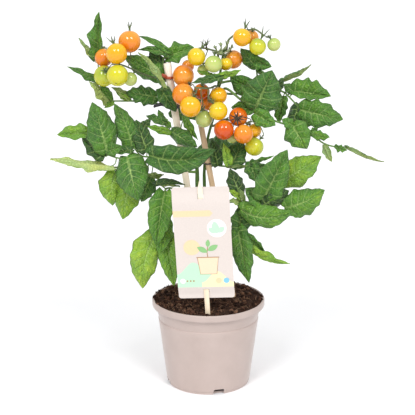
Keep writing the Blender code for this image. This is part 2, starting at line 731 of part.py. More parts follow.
def pot():
    outer_below_rim = POT_HEIGHT - RIM_HEIGHT
    channel_in, channel_out = CHANNEL_RADII
    profile = [
        (0, 0),
        (channel_in, 0),
        (channel_in + CHANNEL_DEPTH, CHANNEL_DEPTH),
        (channel_out - CHANNEL_DEPTH, CHANNEL_DEPTH),
        (channel_out, 0),
        (FOOT_RADIUS - FOOT_INSET, 0),
        (FOOT_RADIUS - FOOT_INSET, FOOT_Z),
        (FOOT_RADIUS, FOOT_Z + FOOT_EDGE),
        (LEDGE_OUTER_RADIUS, LEDGE_Z),
        (LEDGE_OUTER_RADIUS - LEDGE_STEP, LEDGE_Z + LEDGE_STEP),
        (WALL_TOP_RADIUS, outer_below_rim - RIM_UNDERCUT),
        (POT_TOP_RADIUS - RIM_BEVEL, outer_below_rim),
        (POT_TOP_RADIUS, outer_below_rim + RIM_UNDERCUT),
        (POT_TOP_RADIUS, POT_HEIGHT - RIM_BEVEL),
        (POT_TOP_RADIUS - RIM_BEVEL, POT_HEIGHT),
        *reversed(INNER_WALL),
        (0, FLOOR),
    ]
    made = turned("pot", profile, POT_SIDES, "pot")
    notches = []
    for index in range(NOTCHES):
        angle = math.radians(NOTCH_FIRST_ANGLE + index * 360 / NOTCHES)
        middle = Vector((math.cos(angle), math.sin(angle), 0)) * FOOT_RADIUS
        middle.z = (NOTCH_HEIGHT - NOTCH_BELOW) / 2
        size = (NOTCH_DEPTH, NOTCH_WIDTH, NOTCH_HEIGHT + NOTCH_BELOW)
        notches.append(box(middle, size, Matrix.Rotation(angle, 3, "Z")))
    carve(made, notches)
    return made


def soil():
    """Peat with a lumpy top; its side follows the pot's wall."""
    chance = random.Random(SOIL_SEED)
    flat = math.cos(math.pi / POT_SIDES)
    rings = [(radius * flat - CLEARANCE - FACET_MARGIN, height, 0.0) for radius, height in INNER_WALL[:-1]]
    rings[0] = (rings[0][0], FLOOR + CLEARANCE, 0.0)
    rings.append((SOIL_EDGE_RADIUS, SOIL_Z - SOIL_EDGE_DROP, 0.0))
    rings += [(radius, SOIL_Z, SOIL_LUMP) for radius in reversed(SOIL_RINGS)]
    vertices = [Vector((0, 0, FLOOR + CLEARANCE))]
    for radius, height, lump in rings:
        for side in range(SOIL_SIDES):
            angle = 2 * math.pi * (side + 0.5 * (lump > 0 and SOIL_RINGS.index(radius) % 2)) / SOIL_SIDES
            up = height + chance.uniform(-lump, lump)
            vertices.append(Vector((radius * math.cos(angle), radius * math.sin(angle), up)))
    vertices.append(Vector((0, 0, SOIL_Z + SOIL_LUMP)))
    last = len(vertices) - 1
    faces = []
    for side in range(SOIL_SIDES):
        following = (side + 1) % SOIL_SIDES
        faces.append((0, following + 1, side + 1))
        for ring in range(len(rings) - 1):
            first = 1 + ring * SOIL_SIDES
            second = first + SOIL_SIDES
            faces.append((first + side, first + following, second + side))
            faces.append((first + following, second + following, second + side))
        faces.append((last, last - SOIL_SIDES + side, last - SOIL_SIDES + following))
    return add_object("soil", vertices, faces, "peat")


def cane_path(entry):
    foot, top = place(entry["foot"]), place(entry["top"])
    along = (top - foot).normalized()
    return [foot - along * CANE_DEPTH, top]


def stem_paths():
    """The smooth centre lines of both stems, from inside the soil up."""
    main = [place(spot) for spot in STEM_MAIN]
    foot = Vector((main[0].x, main[0].y, STEM_TOP_OF_ROOT - STEM_DEPTH))
    main = smooth_path([foot, *main], STEM_STEPS)
    fork = main[STEM_STEPS + 1]
    side = smooth_path([fork, *(place(spot) for spot in STEM_SIDE)], STEM_STEPS)
    return {"main": main, "side": side}


STEM_PATHS = stem_paths()
STEM_RADII = {"main": STEM_MAIN_RADII, "side": STEM_SIDE_RADII}


def stem_at(stem, height):
    """The stem's centre, direction and radius at a height."""
    path = STEM_PATHS[stem]
    for index, (low, high) in enumerate(zip(path, path[1:])):
        if low.z <= height <= high.z:
            share = (height - low.z) / (high.z - low.z)
            radii = STEM_RADII[stem]
            radius = radii[0] + (radii[1] - radii[0]) * (index + share) / (len(path) - 1)
            return low.lerp(high, share), (high - low).normalized(), radius
    raise ValueError(f"no stem at {height}")


def stalk_from_stem(entry):
    """A stalk's smooth centre line, standing square off the stem's surface before it bends away."""
    centre, along, radius = stem_at(entry["stem"], entry["seat"])
    points = [place(spot) for spot in entry["stalk"]]
    out = points[0] - centre
    out = (out - along * out.dot(along)).normalized()
    start = centre + out * (radius + CLEARANCE + FACET_MARGIN)
    path = smooth_path([start + out * STALK_STUB, *points], 2 if len(points) < LONG_STALK else 1)
    return [start, *path]


def nearest_on(path, point):
    """The point of a path that lies nearest to another point."""
    best = None
    for low, high in zip(path, path[1:]):
        run = high - low
        share = max(0.0, min(1.0, (point - low).dot(run) / run.length_squared))
        spot = low + run * share
        if best is None or (spot - point).length < (best - point).length:
            best = spot
    return best


class Leaflet:
    """The frame and the outline of one blade."""

    def __init__(self, settings):
        self.settings = settings
        self.base = place(settings["base"])
        tip = place(settings["tip"])
        self.length = (tip - self.base).length
        self.along = (tip - self.base).normalized()
        view = (EYE - (self.base + tip) / 2).normalized()
        facing = (view - self.along * view.dot(self.along)).normalized()
        turn = math.radians(settings["turn"])
        self.normal = facing * math.cos(turn) + self.along.cross(facing) * math.sin(turn)
        self.side = self.along.cross(self.normal)

    def middle(self, u):
        bow = 4 * u * (1 - u) * self.length
        bend = self.normal * self.settings["arch"] + self.side * self.settings["sway"]
        return self.base + self.along * (self.length * u) + bend * bow

    def edge(self, u, way):
        """The edge at a share of the length; way is 1 on one side and -1 on the other."""
        settings = self.settings
        wave = math.cos(2 * math.pi * (u - TEETH_FROM) * settings["teeth"] / TEETH_SPAN)
        tooth = 0.5 - 0.5 * wave * way
        full = math.sqrt(u) * (1 - u) ** BLADE_TAPER / BLADE_PEAK
        half = settings["wide"] / 2 * full * (1 - settings["cut"] * (1 - tooth)) * (1 + way * settings["skew"])
        fold = math.radians(settings["fold"])
        forward = TEETH_LEAN * settings["cut"] * tooth * self.length * TEETH_SPAN / settings["teeth"] / 2
        out = self.side * (way * math.cos(fold)) + self.normal * math.sin(fold)
        return self.middle(u) + out * half + self.along * forward

    def solid(self, start):
        """The closed blade from a start point: three points to a row, and the same triangles on both faces."""
        settings = self.settings
        steps = 2 * settings["teeth"]
        shares = [TEETH_FROM + TEETH_SPAN * step / steps for step in range(steps + 1)]
        layers = []
        for lift in (0.5, -0.5):
            shift = self.normal * (BLADE_THICKNESS * lift)
            layer = [start + shift]
            for u in shares:
                layer += [self.edge(u, -1) + shift, self.middle(u) + shift, self.edge(u, 1) + shift]
            layers.append(layer + [self.middle(1) + shift])
        count = len(layers[0])
        top = [(0, 2, 1), (0, 3, 2)]
        for step in range(steps):
            left, centre, right = (1 + 3 * step + offset for offset in range(3))
            top += [(left, centre, left + 3), (centre, centre + 3, left + 3)]
            top += [(centre, right, right + 3), (centre, right + 3, centre + 3)]
        top += [(count - 4, count - 3, count - 1), (count - 3, count - 2, count - 1)]
        bottom = [tuple(index + count for index in reversed(face)) for face in top]
        left_edge = [0, *range(1, count - 1, 3), count - 1]
        right_edge = [count - 1, *range(count - 2, 2, -3), 0]
        rim = []
        for edge in (left_edge, right_edge):
            for first, second in zip(edge, edge[1:]):
                rim += [(first, second, first + count), (second, second + count, first + count)]
        return layers[0] + layers[1], top + bottom + rim

    def pieces(self, root):
        """The blade, either sunk straight into its stalk at the root or held off it by a small stalk."""
        if (root - self.base).length < SHORTEST_PETIOLULE:
            return [self.solid(root - self.along * BLADE_SINK)]
        return [self.solid(self.base), tube([root, self.base, self.middle(RIB_REACH)], RIB_RADII, RIB_SIDES)]


def outward(piece):
    """The piece with its faces pointing out."""
    vertices, faces = piece
    volume = 0.0
    for face in faces:
        for second, third in zip(face[1:], face[2:]):
            volume += vertices[face[0]].dot(vertices[second].cross(vertices[third]))
    return (vertices, faces) if volume > 0 else (vertices, [tuple(reversed(face)) for face in faces])


def leaf(name, entry):
    rachis = stalk_from_stem(entry)
    lines = [rachis]
    pieces = [tube(rachis, STALK_RADII, STALK_SIDES)]
    if entry["branch"]:
        branch = smooth_path([place(spot) for spot in entry["branch"]])
        branch[0] = nearest_on(rachis, branch[0])
        lines.append(branch)
        pieces.append(tube(branch, (STALK_RADII[1], RIB_RADII[0]), STALK_SIDES))
    for settings in entry["blades"]:
        leaflet = Leaflet(settings)
        roots = [nearest_on(line, leaflet.base) for line in lines]
        root = min(roots, key=lambda point: (point - leaflet.base).length)
        pieces += leaflet.pieces(root)
    return join(name, [outward(piece) for piece in pieces], "leaf")


def calyx(settings):
    """The star of five pointed sepals that sits on the fruit, and the point where its pedicel joins."""
    centre = place(settings["spot"])
    top = Vector(settings["top"]).normalized()
    seat = centre + top * (settings["size"] / 2 + CLEARANCE)
    side = top.orthogonal().normalized()
    other = top.cross(side)
    lift = math.radians(settings["lift"])
    vertices = [seat, seat + top * CALYX_HEIGHT]
    faces = []
    for index in range(2 * SEPALS):
        angle = math.pi * (index + SEPAL_TURN) / SEPALS
        flat = side * math.cos(angle) + other * math.sin(angle)
        reach, rise = CALYX_WAIST, CALYX_HEIGHT * CALYX_WAIST_RISE
        if index % 2 == 0:
            reach = settings["sepals"] * math.cos(lift)
            rise = CALYX_HEIGHT * SEPAL_RISE + settings["sepals"] * math.sin(lift)
        vertices.append(seat + flat * reach + top * rise)
        following = 2 + (index + 1) % (2 * SEPALS)
        faces += [(0, following, index + 2), (1, index + 2, following)]
    return seat + top * (CALYX_HEIGHT * SEPAL_RISE), (vertices, faces)


def truss(name, entry):
    peduncle = stalk_from_stem(entry)
    pieces = [tube(peduncle, PEDUNCLE_RADII, PEDUNCLE_SIDES)]
    for settings in entry["fruits"]:
        head, star = calyx(settings)
        top = Vector(settings["top"]).normalized()
        via = [place(spot) for spot in settings["via"]]
        knee = head + top * PEDICEL_KNEE
        root = nearest_on(peduncle, via[-1] if via else knee)
        path = [head, knee, *via, root]
        pieces += [tube(path, PEDICEL_RADII, RIB_SIDES), star]
    return join(name, [outward(piece) for piece in pieces], "calyx")


def fruit_ball(name, settings):
    made = bpy.data.meshes.new(name)
    shape = bmesh.new()
    radius = settings["size"] / 2 * MM
    bmesh.ops.create_uvsphere(shape, u_segments=FRUIT_SIDES, v_segments=FRUIT_RINGS, radius=radius)
    shape.to_mesh(made)
    shape.free()
    made.materials.append(material(settings["colour"]))
    made.shade_smooth()
    ball = bpy.data.objects.new(name, made)
    ball.location = place(settings["spot"]) * MM
    ball.rotation_euler = Vector(settings["top"]).to_track_quat("Z", "Y").to_euler()
    bpy.context.scene.collection.objects.link(ball)
    return ball


def label_frame():
    """The stick's foot on the soil, and the frame of the card: across, forwards and up."""
    foot, top = place(STICK_FOOT), place(STICK_TOP)
    up = (top - foot).normalized()
    yaw = math.radians(LABEL_YAW)
    across = Vector((math.cos(yaw), -math.sin(yaw), 0))
    across = (across - up * across.dot(up)).normalized()
    front = across.cross(up)
    return foot, across, front, up, (top - foot).length


def card_offset(height):
    """How far in front of the stick's middle the card runs at a height above its lower edge."""
    reach = (STICK_THICKNESS + CARD_THICKNESS) / 2 + CLEARANCE
    low, high = CARD_SLOT_HEIGHTS
    if low <= height <= high:
        return reach
    if height <= low - CARD_STEP_HEIGHT or height >= high + CARD_STEP_HEIGHT:
        return -reach
    share = (low - height) / CARD_STEP_HEIGHT if height < low else (height - high) / CARD_STEP_HEIGHT
    return reach * (1 - 2 * share)


def label_card():
    foot, across, forwards, up, _ = label_frame()
    low, high = CARD_SLOT_HEIGHTS
    heights = [0, CARD_CORNER, low - CARD_STEP_HEIGHT, low, high, high + CARD_STEP_HEIGHT]
    heights += [CARD_HEIGHT - CARD_CORNER, CARD_HEIGHT]
    layers = []
    for depth in (CARD_THICKNESS / 2, -CARD_THICKNESS / 2):
        layer = []
        for height in heights:
            inset = CARD_CORNER if height in (0, CARD_HEIGHT) else 0
            for way in (-1, 1):
                point = foot + across * (way * (CARD_WIDTH / 2 - inset))
                point += up * (CARD_LIFT + height) + forwards * (card_offset(height) + depth)
                layer.append(point)
        layers.append(layer)
    count = len(layers[0])
    face = [(2 * row, 2 * row + 1, 2 * row + 3, 2 * row + 2) for row in range(len(heights) - 1)]
    back = [tuple(index + count for index in reversed(corners)) for corners in face]
    loop = [*range(0, count, 2), *range(count - 1, 0, -2)]
    rim = [(first, second, second + count, first + count) for first, second in zip(loop, loop[1:] + loop[:1])]
    card = add_object("label_card", *outward((layers[0] + layers[1], face + back + rim)), "card")
    turn = Matrix((across, forwards, up)).transposed()
    slots = []
    for middle in (low - CARD_STEP_HEIGHT / 2, high + CARD_STEP_HEIGHT / 2):
        centre = foot + up * (CARD_LIFT + middle)
        size = (STICK_WIDTH + 2 * CLEARANCE, CUT_THROUGH, CARD_STEP_HEIGHT + CARD_SLOT_SPARE)
        slots.append(box(centre, size, turn))
    carve(card, [outward(slot) for slot in slots])
    return card


def label_stick():
    foot, across, forwards, up, length = label_frame()
    half = STICK_WIDTH / 2
    tip = half * STICK_TIP_SHARE
    outline = [(-half, -STICK_DEPTH), (half, -STICK_DEPTH), (half, length - STICK_POINT), (tip, length)]
    outline += [(-tip, length), (-half, length - STICK_POINT)]
    vertices = []
    for depth in (STICK_THICKNESS / 2, -STICK_THICKNESS / 2):
        vertices += [foot + across * x + up * z + forwards * depth for x, z in outline]
    count = len(outline)
    faces = [tuple(range(count)), tuple(reversed(range(count, 2 * count)))]
    for first in range(count):
        second = (first + 1) % count
        faces.append((second, first, first + count, second + count))
    return add_object("label_stick", *outward((vertices, faces)), "pale wood")


def tie_loop(entry):
    """A closed line round a cane and a stem at one height, clear of both by the tie's own radius."""
    cane_entry = CANES[entry["cane"]]
    foot, top = cane_path(cane_entry)
    height = entry["height"]
    share = (height - foot.z) / (top.z - foot.z)
    cane = foot.lerp(top, share)
    cane_radius = cane_entry["radii"][0] * (1 - share) + cane_entry["radii"][1] * share
    stem_centre, _, stem_radius = stem_at(entry["stem"], height)
    away = stem_centre - cane
    reach = entry["radius"] + CLEARANCE + FACET_MARGIN
    heading = math.atan2(away.y, away.x)
    points = []
    for centre, radius, start in ((stem_centre, stem_radius, -90), (cane, cane_radius, 90)):
        for step in range(TIE_ARC_STEPS + 1):
            angle = heading + math.radians(start + 180 * step / TIE_ARC_STEPS)
            ring = radius / math.cos(math.pi / TIE_ARC_STEPS / 2) + reach
            points.append(centre + Vector((math.cos(angle), math.sin(angle), 0)) * ring)
    return points


def ring_tube(path, radius, sides):
    """A closed tube along a level loop."""
    vertices, faces = [], []
    for index, point in enumerate(path):
        along = (path[(index + 1) % len(path)] - path[index - 1]).normalized()
        other = along.cross(Vector((0, 0, 1)))
        for corner in range(sides):
            angle = 2 * math.pi * corner / sides
            vertices.append(point + (Vector((0, 0, math.sin(angle))) + other * math.cos(angle)) * radius)
    for ring in range(len(path)):
        for corner in range(sides):
            first, second = ring * sides, (ring + 1) % len(path) * sides
            following = (corner + 1) % sides
            faces.append((first + corner, first + following, second + following, second + corner))
    return vertices, faces


def tie(name, entry):
    loop = tie_loop(entry)
    end = [place(spot) for spot in entry["end"]]
    start = min(loop, key=lambda point: (point - end[0]).length)
    pieces = [
        ring_tube(loop, entry["radius"], TIE_SIDES),
        tube(smooth_path([start, *end]), [entry["radius"]] * 2, TIE_SIDES),
    ]
    return join(name, [outward(piece) for piece in pieces], entry["colour"])


def stem():
    pieces = [tube(STEM_PATHS[key], STEM_RADII[key], STEM_SIDES) for key in ("main", "side")]
    return join("stem", [outward(piece) for piece in pieces], "stem")


def drill_soil(body):
    """Plain holes for the stem, the canes and the stick, a clearance wider and deeper than each of them."""
    cutters = []
    for entry in CANES.values():
        bottom, top = cane_path(entry)
        along = (top - bottom).normalized()
        radii = [radius + CLEARANCE + FACET_MARGIN for radius in entry["radii"]]
        cutters.append(tube([bottom - along * CLEARANCE, top], radii, CANE_SIDES))
    path = STEM_PATHS["main"]
    hole = [path[0] - Vector((0, 0, CLEARANCE))]
    hole += [point for point in path[1:] if point.z < SOIL_Z + HOLES_REACH]
    cutters.append(tube(hole, [STEM_MAIN_RADII[0] + STEM_HOLE_SPARE] * 2, STEM_SIDES))
    foot, across, forwards, up, _ = label_frame()
    turn = Matrix((across, forwards, up)).transposed()
    depth = STICK_DEPTH + CLEARANCE
    size = (STICK_WIDTH + 2 * CLEARANCE, STICK_THICKNESS + 2 * CLEARANCE, depth + HOLES_REACH)
    cutters.append(box(foot + up * (HOLES_REACH - depth) / 2, size, turn))
    carve(body, [outward(cutter) for cutter in cutters])


def main():
    clear_scene()
    pot()
    body = soil()
    drill_soil(body)
    for key, entry in CANES.items():
        rod = outward(tube(cane_path(entry), entry["radii"], CANE_SIDES))
        add_object("cane_" + key, *rod, entry["colour"])
    stem()
    for name, entry in TIES.items():
        tie(name, entry)
    label_card()
    label_stick()
    for name, entry in LEAVES.items():
        leaf(name, entry)
    for name, entry in TRUSSES.items():
        truss("truss_" + name, entry)
        for number, settings in enumerate(entry["fruits"], 1):
            fruit_ball(f"fruit_{name}_{number}", settings)


main()
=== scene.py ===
"""The looks of a potted tomato plant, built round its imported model.

Lengths in the tables are millimetres, and MM turns them into metres. A spot is (across, down, back): the
pixel of the 415-pixel photograph at which the point shows, and how far it lies behind the pot's axis in
millimetres.
"""

import math
import random

import bmesh
import bpy
from mathutils import Matrix, Vector, noise


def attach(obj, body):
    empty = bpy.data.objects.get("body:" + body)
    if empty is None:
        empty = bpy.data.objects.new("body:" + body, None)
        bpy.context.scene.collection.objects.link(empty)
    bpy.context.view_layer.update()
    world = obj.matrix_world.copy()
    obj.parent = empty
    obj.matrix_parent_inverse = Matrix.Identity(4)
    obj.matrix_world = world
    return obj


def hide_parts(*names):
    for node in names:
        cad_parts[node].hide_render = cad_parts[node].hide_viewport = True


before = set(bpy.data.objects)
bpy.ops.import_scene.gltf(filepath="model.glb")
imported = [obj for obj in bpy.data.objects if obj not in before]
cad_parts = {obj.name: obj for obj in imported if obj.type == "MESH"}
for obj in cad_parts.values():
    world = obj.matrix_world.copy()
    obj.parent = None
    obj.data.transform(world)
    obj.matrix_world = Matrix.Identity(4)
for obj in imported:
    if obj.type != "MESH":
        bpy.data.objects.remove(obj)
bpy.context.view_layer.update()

MM = 0.001

# Viewpoint
EYE = Vector((-1.0, -1270.0, 544.0))
VIEW_TILT = 14.8
FOCAL_PIXELS = 1158.0
PHOTO_MIDDLE = 207.5
PHOTO_WIDTH = 415
SENSOR = 36

# Stage: the half size of the floor in metres, and the light
FLOOR_HALF = 30.0
WORLD_STRENGTH = 0.78
LAMP_SPREAD = 21.0
LAMP_POWER = 1.25
LAMP_AZIMUTH = 29.0
LAMP_RISE = 43.0

# Points of a piece that lie closer than this are one point
MERGE = 0.01

# Pot
POT_SIDES = 128
POT_HEIGHT = 101.0
POT_TOP_RADIUS = 65.0
RIM_HEIGHT = 8.0
RIM_ROUND = 1.6
WALL_TOP_RADIUS = 60.2
LEDGE_Z = 78.0
LEDGE_OUTER_RADIUS = 58.0
LEDGE_STEP = 0.8
FOOT_RADIUS = 48.6
FOOT_Z = 3.0
FOOT_INSET = 1.0
WALL = 1.4
WALL_STEPS = 12
FLOOR = 2.0
CHANNEL_RADII = (31.0, 41.0)
CHANNEL_DEPTH = 1.0
NOTCH_WIDTH = 12.5
NOTCH_HEIGHT = 6.5
NOTCH_FIRST_ANGLE = -75.5
NOTCHES = 4
NOTCH_REACH = 11.0
NOTCH_ROUND = 0.9
POT_SHARP_ANGLE = 42.0

# Soil
SOIL_Z = 99.5
SOIL_EDGE_RADIUS = 62.0
SOIL_DEPTH = 9.0
SOIL_TUCK = 2.6
SOIL_LUMPS = ((1.8, 0.06, (0, 0, 0)), (2.4, 0.16, (5, 2, 8)), (1.6, 0.42, (1, 9, 4)))
SOIL_SEED = 5
SOIL_STEPS = (96, 30)
CLODS = 900
SPILLED = 70
FIBRES = 260
FIBRE_LENGTHS = (4, 13)
FIBRE_BENDS = (-1.2, 1.2)
CRUMB_STRETCHES = (0.6, 1.2)
CRUMB_BUMP = 0.35
CLOD_SIZES = (0.7, 0.9, 1.2, 1.7, 2.4)
CLOD_SHADES = (0.0, 0.1, 0.2, 0.35, 0.5, 0.7)
SPILL_HEADINGS = (0, 75, 110, 180)
SPILL_SPREAD = 22
SPILL_SIZES = (0.6, 1.7)
SPILL_SHADES = (0.0, 0.15, 0.3, 0.5)

# Canes, each from a spot on the soil to a spot at the top, with its radius at either end
CANE_SINK = 8.0
CANE_RINGS = 30
CANE_SIDES = 28
CANE_BEND = 0.25
CANE_SHARE = 0.97
CANE_ROUGH = 0.012
CANES = {
    "left": dict(foot=(205.5, 296.0, 6.0), top=(166.9, 63.0, 15.0), radii=(3.5, 4.3), wood="pale_wood"),
    "right": dict(foot=(233.0, 296.0, 6.0), top=(198.4, 112.0, 7.0), radii=(3.3, 3.3), wood="tan_wood"),
}

# Label: a card threaded on a flat pointed stick
STICK_FOOT = (208.0, 316.0, -54.0)
STICK_TOP = (199.5, 181.0, -72.0)
STICK_WIDTH = 5.4
STICK_THICKNESS = 1.2
STICK_POINT = 9.0
STICK_SINK = 8.0
LABEL_YAW = 4.0
CARD_WIDTH = 62.0
CARD_HEIGHT = 131.0
CARD_LIFT = 22.0
CARD_THICKNESS = 0.5
CARD_SLOT_HEIGHTS = (12.0, 118.0)
CARD_STEP_HEIGHT = 5.0
CARD_CORNER = 3.0
CARD_GAP = 0.3
CARD_SLOT_SPARE = 0.4
CARD_SHARP_ANGLE = 40.0
STICK_ROUND = 0.25
STICK_SHARP_ANGLE = 35.0

# Stems
STEM_SIDES = 14
STEM_SINK = 6.0
STEM_STEPS = 8
STEM_FORK = 5
STEM_SHADE = 0.15
STEM_RIPPLE = 0.12
STEM_RIPPLES = 40
STEM_MAIN = (
    (201.0, 283.0, 18.0), (199.0, 235.0, 18.0), (197.4, 187.0, 18.0),
    (196.6, 165.0, 18.0), (191.0, 138.0, 19.0), (183.0, 112.0, 20.0),
    (174.5, 90.0, 21.0), (171.5, 76.0, 22.0), (169.5, 62.0, 22.0),
)
STEM_MAIN_RADII = (2.9, 1.5)
STEM_SIDE = (
    (205.5, 270.0, 19.0), (207.0, 235.0, 19.0), (204.5, 187.0, 19.0),
    (204.6, 165.0, 19.0), (207.5, 140.0, 20.0), (214.0, 114.0, 20.0),
    (217.5, 90.0, 16.0), (221.0, 68.0, 11.0), (224.0, 49.0, 7.0),
)
STEM_SIDE_RADII = (2.2, 1.3)

# Ties: the cane and the stem that each holds, its height, its wire and the spots of its loose end
TIES = {
    "orange": dict(cane="left", stem="main", height=355, radius=1.2, end=[(165, 77, 9), (161.5, 75.5, 8)]),
    "black": dict(
        cane="left", stem="main", height=322, radius=1.3, end=[(169, 105, 10), (161, 105, 9), (153.5, 107, 8)]
    ),
    "wire": dict(cane="right", stem="side", height=258, radius=0.6, end=[(213, 163, 3), (216, 158.5, 2)]),
}

# Foliage
BLADE_THICKNESS = 0.5
STALK_RADII = (1.5, 0.85)
STALK_STUB = 2.5
STALK_STEPS = 6
STALK_SHADE = 0.55
BRANCH_END_RADIUS = 0.7
LEAFLET_STALK_RADII = (0.75, 0.3)
TEETH_FROM = 0.1
TEETH_SPAN = 0.8
TEETH_LEAN = 0.25
LOBE = 0.12
BLADE_PEAK = 0.4013
BLADE_SPARE = 1.04
CUT_DEPTH = 0.62
EDGE_UNEVEN = 0.09
CROWN = 0.14
PUFF = 0.24
LADDER_STEP = 3.8
EDGE_WAVE = 0.16
TIP_DROOP = 0.35
VEIN_HALF = 0.1
VEIN_SPACING = 7.5
VEIN_COUNTS = (4, 7)
CURLS = (6, 24)
TWIST = 28
RIB_DEPTH = 0.7
END_WAVES = 2.3
DROOP_FROM = 0.72
# Painted shade and light: how much paler a puff's top and darker its hollow are made on the leaf
PUFF_PAINTED_SHADE = 0.34
PATCH_SHADE = 0.13
VEIN_PHASES = (0.0, 0.09, 0.26, 0.41, 0.5, 0.59, 0.76, 0.91)
COLUMNS = (0.0, 0.045, 0.13, 0.26, 0.4, 0.54, 0.68, 0.81, 0.92, 1.0)

# Trusses and fruits
PEDUNCLE_RADII = (1.3, 0.95)
PEDICEL_RADIUS = 0.56
FRUIT_STEPS = (40, 26)
FRUIT_LOBES = (0.003, 0.012)
FRUIT_FLATNESS = 0.985
DIMPLE_DEPTH = 0.05
DIMPLE_WIDTH = 0.28
SEPALS = 6
BUD_SEPALS = 7
SEPAL_STEPS = 7
SEPAL_HALF = 1.25
SEPAL_LIFTS = (0.75, 1.2)
SEPAL_SHADES = (0.3, 0.9)
SEAT_DEPTH = 0.5
PEDICEL_RISE = 2.2
PEDICEL_KNEE = 4.5
DRY_SEPALS = 9
CALYX_START = 0.25
CALYX_LOOSE = 0.15
CALYX_LENGTHS = (1.0, 1.35)
BUD_KNEE = 2.5
TRUSS_SEED = 100
FRUIT_SEED = 1000
BUDS = {
    "truss_top": (
        ((206.5, 47, 1), (-0.2, -0.3, 1.0), 9.5, True),
        ((216, 49, 2), (-0.4, -0.4, 1.0), 4.0, False),
        ((221, 46.5, 0), (-0.1, -0.4, 1.0), 4.6, False),
        ((226.5, 45, 3), (0.3, -0.4, 1.0), 5.0, False),
        ((231, 48, 6), (0.6, -0.3, 0.8), 4.0, False),
        ((220, 53, -3), (0.3, -0.9, 0.3), 3.8, False),
    ),
}


def place(spot):
    """The world point of a spot."""
    across, down, back = spot
    right = (across - PHOTO_MIDDLE) / FOCAL_PIXELS
    up = (PHOTO_MIDDLE - down) / FOCAL_PIXELS
    tilt = math.radians(VIEW_TILT)
    ray = Vector((right, math.cos(tilt) + up * math.sin(tilt), up * math.cos(tilt) - math.sin(tilt)))
    return EYE + ray * ((back - EYE.y) / ray.y)


def places(spots):
    return [place(spot) for spot in spots]


def blade(base, tip, wide, turn, fold=0, arch=0, sway=0, cut=0.2, teeth=2, skew=0, shade=0.3, under=False):
    """A leaflet: its ends and width in spots and millimetres, its turn about its length and its fold in
    degrees, its arch and sway as shares of its length, how deep it is cut and into how many teeth, how much
    wider one half is, how pale it is, and whether its underside faces the viewer."""
    return dict(
        base=base, tip=tip, wide=wide, turn=turn, fold=fold, arch=arch, sway=sway,
        cut=cut, teeth=teeth, skew=skew, shade=shade, under=under,
    )


def sprout(stem, seat, stalk, *parts, branch=None):
    """A leaf or a truss: the stem it grows from, the height of that seat, the spots of its stalk and of
    the branch of that stalk, and its leaflets or fruits."""
    return dict(stem=stem, seat=seat, stalk=stalk, parts=parts, branch=branch)


